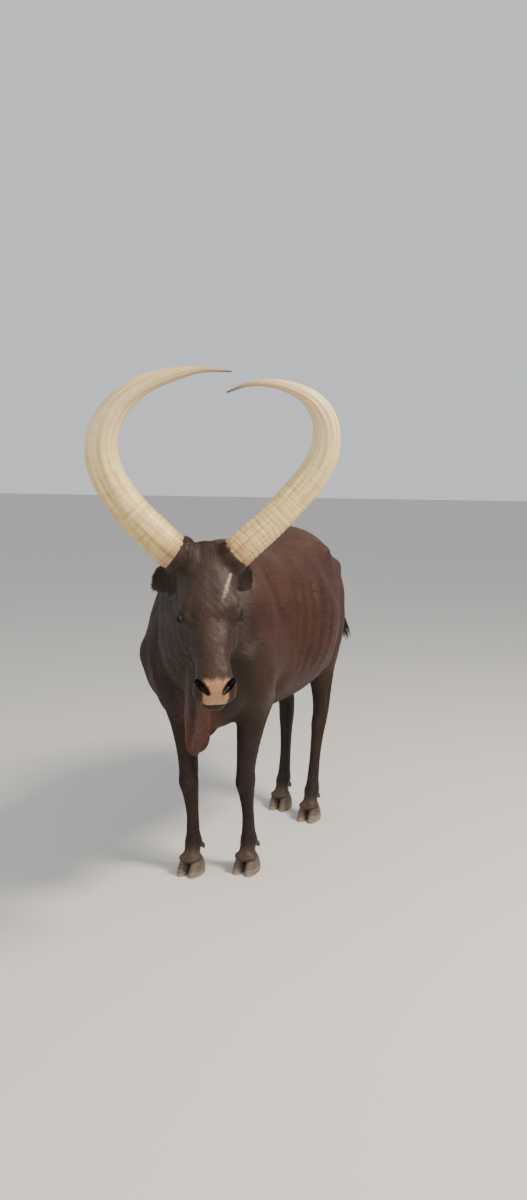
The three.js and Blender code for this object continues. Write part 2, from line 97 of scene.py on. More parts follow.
class Slot(Enum):
    """The material slots that the pieces are logged under."""

    BODY = "body_coat"
    FACE = "face_coat"
    SWITCH = "switch_hair"
    HORN = "horn"
    HOOF = "hoof"
    EYE = "eye"


@dataclass(frozen=True)
class HeadFrame:
    """Where the head is and which way it faces, in the animal's own axes."""

    poll: tuple[float, float, float] = (0.262, -0.402, 1.318)
    turn: float = math.radians(34)
    slope: float = math.radians(27)

    @property
    def left(self) -> Array:
        """The head's own left."""
        return np.array([math.cos(self.turn), math.sin(self.turn), 0.0])

    @property
    def ahead(self) -> Array:
        """The level way that the head faces."""
        return np.array([math.sin(self.turn), -math.cos(self.turn), 0.0])

    @property
    def down(self) -> Array:
        """From the poll down the face to the nose."""
        return self.ahead * math.sin(self.slope) - UP * math.cos(self.slope)

    @property
    def off(self) -> Array:
        """Straight out of the forehead."""
        return self.ahead * math.cos(self.slope) + UP * math.sin(self.slope)

    def on(self, across: float, down: float, off: float) -> Array:
        """Returns a point given across to the left, down the face and off the forehead."""
        return np.array(self.poll) + self.left * across + self.down * down + self.off * off

    def by_poll(self, across: float, up: float, ahead: float) -> Array:
        """Returns a point beside the poll in upright axes."""
        return np.array(self.poll) + self.left * across + UP * up + self.ahead * ahead

    def local(self, points: Array) -> Array:
        """Returns points as across, down and off, one row each."""
        d = points - np.array(self.poll)
        return np.stack([d @ self.left, d @ self.down, d @ self.off], 1)


HEAD = HeadFrame()
EYE_DOWN = 0.234
EYE_ACROSS = 0.080
EYE_OFF = -0.050
EYE_RADIUS = 0.021


def eye_centre(side: Side) -> Array:
    """Returns the middle of one eyeball."""
    return HEAD.on(side.value * EYE_ACROSS, EYE_DOWN, EYE_OFF)


def eye_axes(side: Side) -> tuple[Array, Array, Array]:
    """Returns the eye's outward axis, the axis along the lids, and the one across them.

    Args:
        side: Which side of the cow.

    Returns:
        Three unit directions.
    """
    out = unit(HEAD.left * side.value * 0.86 + HEAD.off * 0.5 - HEAD.down * 0.05)
    along = HEAD.down + HEAD.off * 0.35 - HEAD.left * side.value * 0.3
    along = unit(along - out * (along @ out))
    return out, along, np.cross(out, along)


def curve_points(points: Array, count: int, centripetal: bool) -> Array:
    """Returns count places on a smooth curve through points.

    Args:
        points: One row for each point that the curve goes through.
        count: How many places to give, spread evenly over the stretches.
        centripetal: True for a path that keeps clear of loops, False for plain sizes.
    """
    padded = np.vstack([2 * points[0] - points[1], points, 2 * points[-1] - points[-2]])
    result = []
    for t in np.linspace(0, len(points) - 1, count):
        i = min(int(t), len(points) - 2)
        w = t - i
        a, b, c, d = padded[i : i + 4]
        if centripetal:
            spans = [max(np.linalg.norm(q - p) ** 0.5, 1e-5) for p, q in ((a, b), (b, c), (c, d))]
            t0, t1, t2 = spans
            m1 = ((b - a) / t0 - (c - a) / (t0 + t1) + (c - b) / t1) * t1
            m2 = ((c - b) / t1 - (d - b) / (t1 + t2) + (d - c) / t2) * t1
        else:
            m1, m2 = 0.4 * (c - a), 0.4 * (d - b)
        h = w * w * (3 - 2 * w)
        result.append(b + (c - b) * h + m1 * w * (1 - w) ** 2 - m2 * w * w * (1 - w))
    return np.array(result)


@dataclass
class Loft:
    """A smooth closed body through cross-sections.

    Each section is a centre, a half width, a reach towards the hint and one away from it.
    """

    sections: Sequence[tuple[Sequence[float], float, float, float]]
    hint: Array = field(default_factory=lambda: UP)
    axis: Array | None = None
    rings: int = 48
    sides: int = 40
    squareness: float = 2.0
    thinnest: float = 0.001

    def rows(self) -> tuple[Array, Array, Array, Array]:
        """Returns centres, sizes, across and rise, one row for each ring."""
        path = curve_points(np.array([s[0] for s in self.sections], float), self.rings, True)
        sizes = curve_points(np.array([s[1:4] for s in self.sections], float), self.rings, False)
        tangent = np.gradient(path, axis=0)
        if self.axis is not None:
            tangent[:] = self.axis
        tangent /= np.linalg.norm(tangent, axis=1)[:, None]
        across = np.cross(tangent, self.hint)
        across /= np.linalg.norm(across, axis=1)[:, None]
        return path, np.maximum(sizes, self.thinnest), across, np.cross(across, tangent)

    def mesh(self) -> tuple[Array, list[tuple[int, ...]]]:
        """Returns the points and faces of the closed body."""
        path, sizes, across, rise = self.rows()
        angle = np.arange(self.sides) / self.sides * 2 * math.pi
        c, s = np.cos(angle), np.sin(angle)
        n = self.squareness
        fit = (np.abs(c) ** n + np.abs(s) ** n) ** (-1 / n)
        reach = np.where(s[None, :] > 0, sizes[:, 1:2], sizes[:, 2:3])
        ring = path[:, None, :] + across[:, None, :] * (c * fit * sizes[:, 0:1])[:, :, None]
        ring = ring + rise[:, None, :] * (s * fit * reach)[:, :, None]
        points = np.vstack([ring.reshape(-1, 3), path[:1], path[-1:]])
        start, end = len(points) - 2, len(points) - 1
        faces: list[tuple[int, ...]] = []
        last = (self.rings - 1) * self.sides
        for j in range(self.sides):
            k = (j + 1) % self.sides
            for r in range(0, last, self.sides):
                faces.append((r + j, r + k, r + self.sides + k, r + self.sides + j))
            faces.append((start, k, j))
            faces.append((end, last + j, last + k))
        return points, faces


def new_object(name: str, points: Array, faces: Iterable[Sequence[int]]) -> bpy.types.Object:
    """Returns a linked mesh object whose faces point outwards.

    Args:
        name: Name of the piece.
        points: Places in the animal's axes, one row each.
        faces: Corners of each face, as numbers of points.

    Returns:
        The mesh object.
    """
    mesh = bpy.data.meshes.new(name)
    mesh.from_pydata([tuple(p) for p in points], [], [tuple(f) for f in faces])
    made = bpy.data.objects.new(name, mesh)
    bpy.context.scene.collection.objects.link(made)
    work = bmesh.new()
    work.from_mesh(mesh)
    bmesh.ops.recalc_face_normals(work, faces=work.faces)
    work.to_mesh(mesh)
    work.free()
    return made


def select_only(*pieces: bpy.types.Object) -> None:
    """Makes pieces the whole selection, with the first one active.

    Args:
        pieces: The mesh objects.
    """
    bpy.ops.object.select_all(action="DESELECT")
    for piece in pieces:
        piece.select_set(True)
    bpy.context.view_layer.objects.active = pieces[0]


def apply_modifier(piece: bpy.types.Object, kind: str, **settings: object) -> None:
    """Adds one modifier with its settings and applies it.

    Args:
        piece: The mesh object.
        kind: Type of the modifier.
        settings: Its settings by name.
    """
    select_only(piece)
    modifier = piece.modifiers.new(kind.lower(), kind)
    for key, value in settings.items():
        setattr(modifier, key, value)
    bpy.ops.object.modifier_apply(modifier=modifier.name)


def join(name: str, pieces: Sequence[bpy.types.Object]) -> bpy.types.Object:
    """Joins pieces into one object of the given name.

    Args:
        name: Name of the result.
        pieces: The mesh objects.

    Returns:
        The joined object.
    """
    select_only(*pieces)
    bpy.ops.object.join()
    joined = bpy.context.view_layer.objects.active
    joined.name = name
    joined.data.name = name
    return joined


def boolean(piece: bpy.types.Object, tool: bpy.types.Object, how: Join) -> None:
    """Cuts or joins piece with tool, which is then removed."""
    apply_modifier(piece, "BOOLEAN", object=tool, operation=how.value, solver="MANIFOLD")
    bpy.data.objects.remove(tool)


def egg(name: str, centre: Array, radii: Sequence[float], axes: Sequence[Array]) -> bpy.types.Object:
    """Returns a closed egg with its three radii along the given axes.

    Args:
        name: Name of the piece.
        centre: Middle of the egg.
        radii: Its three radii.
        axes: The directions of the radii.

    Returns:
        The mesh object.
    """
    bpy.ops.object.select_all(action="DESELECT")
    bpy.ops.mesh.primitive_uv_sphere_add(segments=32, ring_count=20, radius=1.0)
    made = bpy.context.view_layer.objects.active
    made.name = name
    unit_points = points_of(made)
    placed = centre + sum(unit_points[:, i : i + 1] * radii[i] * axes[i] for i in range(3))
    set_points(made, placed)
    return made


def points_of(piece: bpy.types.Object) -> Array:
    """Returns the vertices of a piece, one row each.

    Args:
        piece: The mesh object.

    Returns:
        The places.
    """
    flat = np.empty(len(piece.data.vertices) * 3, np.float32)
    piece.data.vertices.foreach_get("co", flat)
    return flat.reshape(-1, 3).astype(float)


def normals_of(piece: bpy.types.Object) -> Array:
    """Returns the vertex normals of a piece, one row each.

    Args:
        piece: The mesh object.

    Returns:
        The unit normals.
    """
    flat = np.empty(len(piece.data.vertices) * 3, np.float32)
    piece.data.vertex_normals.foreach_get("vector", flat)
    return flat.reshape(-1, 3).astype(float)


def set_points(piece: bpy.types.Object, points: Array) -> None:
    """Moves the vertices of a piece."""
    piece.data.vertices.foreach_set("co", points.astype(np.float32).ravel())
    piece.data.update()


def set_value(piece: bpy.types.Object, name: str, values: Array) -> None:
    """Stores one number on each vertex of a piece."""
    attribute = piece.data.attributes.get(name) or piece.data.attributes.new(name, "FLOAT", "POINT")
    attribute.data.foreach_set("value", values.astype(np.float32))


def shade_smooth(piece: bpy.types.Object) -> None:
    """Gives every face of a piece a smooth shade."""
    piece.data.polygons.foreach_set("use_smooth", [True] * len(piece.data.polygons))
    piece.data.update()


# Sections of the trunk, neck and loose skin, in the animal's own axes
TRUNK = [
    (-0.110, 0.850, 0.060, 0.950, 0.740),
    (-0.085, 0.860, 0.140, 1.070, 0.650),
    (0.000, 0.880, 0.214, 1.195, 0.595),
    (0.100, 0.900, 0.233, 1.260, 0.585),
    (0.240, 0.910, 0.238, 1.272, 0.580),
    (0.420, 0.915, 0.268, 1.250, 0.585),
    (0.600, 0.920, 0.300, 1.275, 0.597),
    (0.760, 0.935, 0.268, 1.300, 0.633),
    (0.900, 0.960, 0.212, 1.284, 0.700),
    (1.030, 0.985, 0.156, 1.242, 0.770),
    (1.140, 1.000, 0.120, 1.195, 0.840),
    (1.240, 1.010, 0.094, 1.135, 0.900),
    (1.275, 1.010, 0.045, 1.070, 0.950),
]
NECK = [
    ((0.000, 0.240, 1.000), 0.150, 0.250, 0.300),
    ((0.002, 0.070, 1.005), 0.160, 0.245, 0.300),
    ((0.032, -0.080, 1.035), 0.130, 0.210, 0.270),
    ((0.092, -0.195, 1.090), 0.098, 0.180, 0.220),
    ((0.162, -0.290, 1.160), 0.084, 0.148, 0.180),
    ((0.225, -0.362, 1.215), 0.078, 0.095, 0.130),
]
DEWLAP = [
    ((0.205, -0.345, 1.045), 0.010, 0.030, 0.040),
    ((0.155, -0.295, 0.930), 0.020, 0.060, 0.068),
    ((0.104, -0.220, 0.815), 0.026, 0.070, 0.120),
    ((0.060, -0.130, 0.735), 0.032, 0.070, 0.190),
    ((0.030, -0.025, 0.685), 0.040, 0.060, 0.170),
    ((0.010, 0.090, 0.655), 0.046, 0.045, 0.082),
    ((0.000, 0.180, 0.650), 0.020, 0.025, 0.030),
]
UDDER = [
    ((0, 0.740, 0.690), 0.040, 0.060, 0.020),
    ((0, 0.810, 0.690), 0.080, 0.060, 0.055),
    ((0, 0.900, 0.705), 0.090, 0.060, 0.080),
    ((0, 0.980, 0.740), 0.070, 0.060, 0.076),
    ((0, 1.040, 0.790), 0.040, 0.040, 0.040),
]
TAIL = [
    ((0.000, 1.130, 1.120), 0.040),
    ((0.000, 1.215, 1.140), 0.032),
    ((0.000, 1.285, 1.105), 0.026),
    ((0.002, 1.330, 1.020), 0.021),
    ((0.004, 1.368, 0.935), 0.017),
    ((0.004, 1.415, 0.862), 0.014),
]


@dataclass(frozen=True)
class Limb:
    """One leg: its CAD name, side, whether it is a foreleg, and where its hoof stands."""

    name: str
    side: Side
    fore: bool
    hoof: tuple[float, float]


LIMBS = (
    Limb("fore_left", Side.LEFT, True, (0.112, 0.182)),
    Limb("fore_right", Side.RIGHT, True, (-0.074, 0.076)),
    Limb("hind_left", Side.LEFT, False, (0.101, 0.838)),
    Limb("hind_right", Side.RIGHT, False, (-0.078, 0.930)),
)
PLAIN_FOOT = {True: (0.112, 0.118), False: (0.098, 0.880)}

# Leg sections from the body down: out, behind the plain foot, height, half width, front, back
LEG_SECTIONS = {
    True: [
        (0.158, -0.010, 1.010, 0.062, 0.080, 0.090),
        (0.172, -0.045, 0.880, 0.080, 0.115, 0.125),
        (0.172, -0.034, 0.760, 0.076, 0.100, 0.120),
        (0.154, 0.012, 0.660, 0.062, 0.080, 0.100),
        (0.136, 0.014, 0.560, 0.048, 0.058, 0.068),
        (0.122, 0.004, 0.460, 0.038, 0.045, 0.048),
        (0.116, -0.004, 0.395, 0.035, 0.041, 0.040),
        (0.114, -0.006, 0.355, 0.037, 0.044, 0.038),
        (0.113, 0.002, 0.308, 0.030, 0.032, 0.034),
        (0.112, 0.010, 0.235, 0.023, 0.026, 0.031),
        (0.112, 0.012, 0.165, 0.025, 0.028, 0.033),
        (0.112, 0.014, 0.120, 0.032, 0.035, 0.040),
        (0.112, 0.004, 0.088, 0.031, 0.033, 0.034),
        (0.112, -0.010, 0.062, 0.041, 0.042, 0.042),
        (0.112, -0.012, 0.050, 0.037, 0.038, 0.038),
    ],
    False: [
        (0.084, 0.150, 1.120, 0.056, 0.110, 0.100),
        (0.090, 0.150, 0.990, 0.080, 0.175, 0.150),
        (0.096, 0.130, 0.860, 0.078, 0.172, 0.148),
        (0.100, 0.098, 0.745, 0.070, 0.132, 0.115),
        (0.102, 0.092, 0.640, 0.052, 0.084, 0.082),
        (0.102, 0.104, 0.545, 0.040, 0.054, 0.058),
        (0.101, 0.106, 0.475, 0.034, 0.046, 0.054),
        (0.100, 0.094, 0.420, 0.031, 0.045, 0.050),
        (0.099, 0.078, 0.360, 0.027, 0.035, 0.038),
        (0.098, 0.058, 0.270, 0.024, 0.028, 0.031),
        (0.098, 0.038, 0.175, 0.026, 0.030, 0.034),
        (0.098, 0.028, 0.124, 0.032, 0.036, 0.040),
        (0.098, 0.012, 0.090, 0.031, 0.033, 0.034),
        (0.098, -0.006, 0.062, 0.041, 0.042, 0.042),
        (0.098, -0.008, 0.050, 0.037, 0.038, 0.038),
    ],
}

# Sections of the skull: down the face, half width, depth, dip of the forehead
SKULL = [
    (-0.020, 0.030, 0.060, 0.016),
    (-0.006, 0.054, 0.100, 0.006),
    (0.030, 0.076, 0.150, 0.0),
    (0.072, 0.095, 0.182, 0.0),
    (0.105, 0.100, 0.198, 0.0),
    (0.150, 0.095, 0.215, -0.004),
    (0.205, 0.095, 0.228, -0.005),
    (0.255, 0.084, 0.210, 0.0),
    (0.310, 0.068, 0.172, -0.002),
    (0.370, 0.057, 0.142, 0.0),
    (0.425, 0.060, 0.120, 0.0),
    (0.448, 0.068, 0.114, 0.005),
    (0.468, 0.070, 0.096, 0.018),
    (0.484, 0.066, 0.076, 0.034),
    (0.493, 0.054, 0.056, 0.050),
    (0.500, 0.034, 0.032, 0.068),
]
CHIN = [
    (0.300, 0.030, -0.135, 0.018, 0.022),
    (0.370, 0.040, -0.112, 0.022, 0.026),
    (0.430, 0.047, -0.099, 0.022, 0.036),
    (0.478, 0.046, -0.101, 0.022, 0.038),
    (0.502, 0.038, -0.105, 0.020, 0.031),
    (0.517, 0.020, -0.110, 0.012, 0.019),
]
NOSTRIL = [
    (0.024, 0.482, -0.038, 0.0060, 0.007, 0.012),
    (0.032, 0.472, -0.030, 0.0095, 0.009, 0.020),
    (0.043, 0.459, -0.024, 0.0115, 0.009, 0.026),
    (0.054, 0.447, -0.026, 0.0080, 0.008, 0.020),
    (0.062, 0.438, -0.033, 0.0040, 0.004, 0.008),
]
BROW = [
    (0.050, EYE_DOWN - 0.090, -0.032, 0.016, 0.012, 0.018),
    (0.062, EYE_DOWN - 0.048, -0.029, 0.026, 0.016, 0.026),
    (0.073, EYE_DOWN - 0.010, -0.033, 0.024, 0.017, 0.026),
    (0.066, EYE_DOWN + 0.036, -0.046, 0.014, 0.012, 0.016),
]
LID_RADIUS = 0.0255
LID_OPENING = (0.0205, 0.0125, 0.012)

# Horn sections beside the poll: outward, up, ahead, radius
HORN_SECTIONS = {
    Side.RIGHT: [
        (0.062, -0.060, -0.024, 0.050),
        (0.113, -0.025, -0.024, 0.060),
        (0.166, 0.026, -0.024, 0.0595),
        (0.224, 0.084, -0.024, 0.0575),
        (0.273, 0.145, -0.024, 0.055),
        (0.308, 0.206, -0.018, 0.054),
        (0.326, 0.264, -0.006, 0.053),
        (0.326, 0.322, 0.009, 0.051),
        (0.305, 0.384, 0.027, 0.046),
        (0.264, 0.439, 0.046, 0.038),
        (0.210, 0.480, 0.062, 0.031),
        (0.150, 0.505, 0.072, 0.025),
        (0.090, 0.521, 0.080, 0.0185),
        (0.030, 0.530, 0.084, 0.010),
        (-0.066, 0.526, 0.084, 0.0025),
    ],
    Side.LEFT: [
        (0.056, -0.068, -0.024, 0.046),
        (0.088, -0.040, -0.024, 0.054),
        (0.140, 0.006, -0.024, 0.053),
        (0.198, 0.056, -0.024, 0.052),
        (0.260, 0.118, -0.024, 0.051),
        (0.312, 0.175, -0.022, 0.051),
        (0.347, 0.222, -0.016, 0.051),
        (0.370, 0.272, -0.005, 0.049),
        (0.377, 0.324, 0.009, 0.045),
        (0.371, 0.372, 0.024, 0.041),
        (0.352, 0.412, 0.037, 0.0365),
        (0.321, 0.445, 0.050, 0.030),
        (0.280, 0.470, 0.059, 0.023),
        (0.229, 0.487, 0.066, 0.017),
        (0.180, 0.494, 0.069, 0.0125),
        (0.120, 0.490, 0.068, 0.008),
        (0.053, 0.465, 0.057, 0.0025),
    ],
}
COLLAR_END = {Side.RIGHT: -0.012, Side.LEFT: 0.0}
EAR_LEAF = [
    (-0.020, 0.020),
    (0.012, 0.024),
    (0.048, 0.036),
    (0.092, 0.044),
    (0.136, 0.036),
    (0.168, 0.020),
    (0.188, 0.006),
]


def leg_loft(limb: Limb) -> Loft:
    """Returns the form of one leg, from inside the body to its coronet.

    Args:
        limb: The leg.

    Returns:
        The form.
    """
    plain = PLAIN_FOOT[limb.fore]
    side = limb.side.value
    sections = []
    for out, behind, height, half, front, back in LEG_SECTIONS[limb.fore]:
        settle = float(smooth_step(1.0 - height, 0.1, 0.85))
        x = side * out + (limb.hoof[0] - side * plain[0]) * settle
        y = plain[1] + behind + (limb.hoof[1] - plain[1]) * settle
        sections.append(((x, y, height), half, front, back))
    return Loft(sections, hint=FORWARD, axis=UP, rings=90, sides=36, squareness=2.1)


def ear_axes(side: Side) -> tuple[Array, Array, Array]:
    """Returns an ear's root, the way it points, and the way its cup opens.

    Args:
        side: Which side of the cow.

    Returns:
        The root and two unit directions.
    """
    s = side.value
    along = unit(HEAD.left * s * 0.40 - UP * 0.46 - HEAD.ahead * 0.79)
    opening = HEAD.left * s * 0.55 + HEAD.ahead * 0.6 - UP * 0.25
    opening = unit(opening - along * (opening @ along))
    return HEAD.by_poll(s * 0.088, -0.080, -0.062), along, opening


@dataclass(frozen=True)
class Swell:
    """A soft rise or hollow of the skin over a bone or muscle.

    Place and radii are in the axes of the caller; lean tips the form in the second and
    third axes, in degrees.
    """

    name: str
    place: tuple[float, float, float]
    radii: tuple[float, float, float]
    height: float
    lean: float = 0.0
    paired: bool = True

    def rise(self, points: Array) -> Array:
        """Returns how far each point rises, in metres.

        Args:
            points: Places in the animal's axes, one row each.

        Returns:
            The rise of each point.
        """
        total = np.zeros(len(points))
        c, s = math.cos(math.radians(self.lean)), math.sin(math.radians(self.lean))
        for sign in (1, -1) if self.paired else (1,):
            d = points - np.array([self.place[0] * sign, self.place[1], self.place[2]])
            y, z = d[:, 1] * c - d[:, 2] * s, d[:, 1] * s + d[:, 2] * c
            a, b, e = d[:, 0] / self.radii[0], y / self.radii[1], z / self.radii[2]
            total += self.height * np.exp(-(a * a + b * b + e * e))
        return total


BODY_SWELLS = (
    Swell("withers", (0, 0.20, 1.27), (0.07, 0.12, 0.06), 0.010, paired=False),
    Swell("shoulder blade", (0.20, 0.13, 1.07), (0.10, 0.055, 0.17), 0.018, lean=-20),
    Swell("edge of shoulder blade", (0.22, 0.245, 1.06), (0.10, 0.030, 0.16), -0.012, lean=-12),
    Swell("point of shoulder", (0.19, -0.03, 0.88), (0.07, 0.05, 0.07), 0.016),
    Swell("upper arm", (0.23, 0.12, 0.80), (0.09, 0.07, 0.10), 0.016, lean=25),
    Swell("elbow", (0.19, 0.20, 0.705), (0.06, 0.040, 0.040), 0.014),
    Swell("armpit", (0.20, 0.27, 0.72), (0.08, 0.035, 0.06), -0.014),
    Swell("hip bone", (0.205, 0.765, 1.205), (0.05, 0.045, 0.042), 0.026),
    Swell("flank hollow", (0.26, 0.685, 1.095), (0.09, 0.070, 0.080), -0.020, lean=15),
    Swell("side of rump", (0.17, 1.00, 1.14), (0.07, 0.090, 0.060), -0.012, lean=-18),
    Swell("pin bone", (0.075, 1.240, 1.105), (0.040, 0.040, 0.036), 0.016),
    Swell("thigh", (0.18, 0.98, 0.86), (0.08, 0.090, 0.140), 0.014, lean=10),
    Swell("back of thigh", (0.17, 1.11, 0.86), (0.07, 0.028, 0.150), -0.010),
    Swell("stifle", (0.16, 0.800, 0.740), (0.07, 0.045, 0.060), 0.015),
    Swell("flank fold", (0.22, 0.735, 0.730), (0.08, 0.022, 0.070), 0.014, lean=-28),
    Swell("spine", (0.0, 0.75, 1.31), (0.022, 0.36, 0.06), 0.009, paired=False),
    Swell("tail head", (0.032, 1.150, 1.20), (0.022, 0.060, 0.05), -0.010),
    Swell("breast", (0.10, -0.09, 0.86), (0.07, 0.06, 0.08), 0.014),
    Swell("neck cord", (0.12, -0.06, 1.16), (0.06, 0.16, 0.04), 0.008, lean=-25),
)
HEAD_SWELLS = (
    Swell("temple", (0.092, 0.140, -0.060), (0.030, 0.040, 0.030), -0.008),
    Swell("brow", (0.070, 0.180, -0.016), (0.022, 0.036, 0.020), 0.006),
    Swell("under the eye", (0.078, 0.282, -0.055), (0.022, 0.026, 0.030), -0.005),
    Swell("face crest", (0.072, 0.305, -0.092), (0.024, 0.050, 0.012), 0.006, lean=8),
    Swell("jaw muscle", (0.092, 0.235, -0.150), (0.026, 0.060, 0.050), 0.006),
    Swell("side of nose", (0.055, 0.365, -0.050), (0.020, 0.060, 0.020), -0.004),
    Swell("nostril wing", (0.062, 0.455, -0.026), (0.016, 0.020, 0.016), 0.006),
    Swell("nose pad", (0.0, 0.488, -0.036), (0.034, 0.020, 0.022), 0.004, paired=False),
    Swell("cleft of lip", (0.0, 0.500, -0.062), (0.0035, 0.030, 0.024), -0.004, paired=False),
    Swell("upper lip", (0.045, 0.478, -0.074), (0.026, 0.018, 0.012), 0.004),
    Swell("dish of face", (0.0, 0.175, 0.0), (0.034, 0.070, 0.030), -0.005, paired=False),
    Swell("under the lower lip", (0.026, 0.395, -0.142), (0.026, 0.045, 0.018), 0.007),
    Swell("jaw edge", (0.060, 0.290, -0.190), (0.020, 0.090, 0.014), 0.004, lean=-16),
)


# Forms of the legs, beside each hoof's own place
FORELEG_SWELLS = (
    Swell("tendon groove", (0.024, 0.016, 0.225), (0.012, 0.0065, 0.085), -0.0050),
    Swell("knee side", (0.034, -0.004, 0.375), (0.014, 0.020, 0.022), 0.0035),
    Swell("knee back", (0.0, 0.036, 0.405), (0.016, 0.012, 0.020), 0.0040, paired=False),
    Swell("forearm groove", (0.040, 0.016, 0.520), (0.020, 0.008, 0.080), -0.0050),
)
HINDLEG_SWELLS = (
    Swell("tendon groove", (0.024, 0.052, 0.245), (0.012, 0.0065, 0.095), -0.0050, lean=12),
    Swell("heel cord hollow", (0.032, 0.118, 0.545), (0.018, 0.013, 0.062), -0.0100),
    Swell("hock side", (0.032, 0.082, 0.410), (0.012, 0.022, 0.026), 0.0035),
    Swell("point of hock", (0.0, 0.152, 0.470), (0.016, 0.016, 0.024), 0.0060, paired=False),
)
FOOT_SWELLS = (
    Swell("fetlock side", (0.032, 0.016, 0.124), (0.012, 0.018, 0.018), 0.0030),
    Swell("pastern groove", (0.0, -0.040, 0.082), (0.004, 0.020, 0.026), -0.0040, paired=False),
)
CORONET_HEIGHT = 0.066
CORONET_RISE = 0.0028


def limb_rise(points: Array) -> Array:
    """Returns the rise over the tendons, joints and coronets of the four legs.

    Args:
        points: Places in the animal's axes, one row each.

    Returns:
        The rise of each point, in metres.
    """
    total = np.zeros(len(points))
    for limb in LIMBS:
        local = points - np.array([limb.hoof[0], limb.hoof[1], 0.0])
        near = smooth_step(-np.abs(local[:, 0]), -0.11, -0.08)
        for form in (FORELEG_SWELLS if limb.fore else HINDLEG_SWELLS) + FOOT_SWELLS:
            total += form.rise(local) * near
        foot = smooth_step(-local[:, 2], -0.09, -0.08)
        total += CORONET_RISE * bump(local[:, 2], CORONET_HEIGHT, 0.006) * near * foot
    return total


def ripple(points: Array, seed: int, size: float) -> Array:
    """Returns smooth random values from -1 to 1 whose features are about size across.

    Args:
        points: Places in the animal's axes, one row each.
        seed: Seed of the chance.
        size: Size of the features in metres.

    Returns:
        One value for each point.
    """
    rng = np.random.default_rng(seed)
    total = np.zeros(len(points))
    for _ in range(10):
        way = rng.normal(size=3)
        way *= 2 * math.pi / size / np.linalg.norm(way) * rng.uniform(0.6, 1.5)
        total += np.sin(points @ way + rng.uniform(0, 6.28))
    return np.clip(total / 4.5, -1, 1)


def head_share(points: Array) -> Array:
    """Returns 1 on the head and 0 on the body, soft over the nape and the throat.

    Args:
        points: Places in the animal's axes, one row each.

    Returns:
        A share from 0 to 1 for each point.
    """
    local = HEAD.local(points)
    nape = local[:, 1] * 0.47 + (local[:, 2] + 0.104) * 0.88
    near = smooth_step(-np.linalg.norm(points - HEAD.on(0, 0.2, -0.06), axis=1), -0.52, -0.46)
    return smooth_step(nape, -0.06, 0.0) * near


def leg_share(points: Array) -> Array:
    """Returns 1 on the legs below the elbow and stifle, 0 on the trunk."""
    return smooth_step(-points[:, 2], -0.74, -0.60)


# Loose skin of the neck, ribs and dewlap, in metres
FOLD_GAP = 0.043
FOLD_DEPTH = 0.0042
FOLD_WIDTH = 0.0085
RIB_GAP = 0.064
RIB_RISE = 0.0030
PLEAT_SWAY = 0.010


def neck_folds(points: Array) -> Array:
    """Returns the depth of the loose folds across the neck and down the breast.

    Args:
        points: Places in the animal's axes, one row each.

    Returns:
        The depth at each point, in metres.
    """
    along = points @ unit((0.30, -0.72, 0.10)) + 0.022 * ripple(points, 3, 0.26) + 0.10 * points[:, 2]
    phase = along / FOLD_GAP
    line = np.abs(phase - np.round(phase)) * FOLD_GAP
    depth = FOLD_DEPTH * np.exp(-((line / FOLD_WIDTH) ** 2)) * (0.45 + 0.55 * ripple(points, 5, 0.09))
    where = smooth_step(-points[:, 1], -0.03, 0.07) * smooth_step(points[:, 1], -0.42, -0.30)
    return -depth * where * smooth_step(-points[:, 2], -1.24, -1.08) * (1 - head_share(points))


def ribs(points: Array) -> Array:
    """Returns the faint rise and fall of the ribs along the barrel.

    Args:
        points: Places in the animal's axes, one row each.

    Returns:
        The rise at each point, in metres.
    """
    x, y, z = points.T
    phase = (y + 0.26 * (1.05 - z)) / RIB_GAP
    where = smooth_step(y, 0.30, 0.40) * smooth_step(-y, -0.70, -0.60)
    where = where * smooth_step(z, 0.70, 0.82) * smooth_step(-z, -1.17, -1.05)
    return RIB_RISE * np.cos(2 * math.pi * phase) * where * smooth_step(np.abs(x), 0.14, 0.22)


def dewlap_pleats(points: Array) -> Array:
    """Returns a sideways sway of the dewlap's edge, as loose skin hangs.

    Args:
        points: Places in the animal's axes, one row each.

    Returns:
        The sway of each point, in metres.
    """
    x, y, z = points.T
    edge = smooth_step(-z, -0.86, -0.62) * smooth_step(-y, -0.12, 0.02) * smooth_step(z, 0.50, 0.54)
    sway = PLEAT_SWAY * np.sin(2 * math.pi * (y * 9 + z * 3.0))
    return sway * edge * smooth_step(-np.abs(x - 0.05), -0.09, -0.05)


def eye_creases(points: Array) -> Array:
    """Returns the creases of the lids round both eyes.

    Args:
        points: Places in the animal's axes, one row each.

    Returns:
        The depth at each point, in metres.
    """
    total = np.zeros(len(points))
    for side in Side:
        out, along, across = eye_axes(side)
        d = points - eye_centre(side)
        ring = np.hypot(d @ along / 1.25, d @ across)
        facing = smooth_step(d @ out, 0.0, 0.014)
        for radius, depth in ((0.0235, 0.0016), (0.0300, 0.0020), (0.0370, 0.0012)):
            total -= depth * bump(ring, radius, 0.0022) * facing
    return total


def neighbours(piece: bpy.types.Object) -> tuple[Array, Array]:
    """Returns the two ends of every edge of a piece.

    Args:
        piece: The mesh object.

    Returns:
        Numbers of the first ends and of the second ends.
    """
    flat = np.empty(len(piece.data.edges) * 2, np.int32)
    piece.data.edges.foreach_get("vertices", flat)
    ends = flat.reshape(-1, 2)
    return ends[:, 0], ends[:, 1]


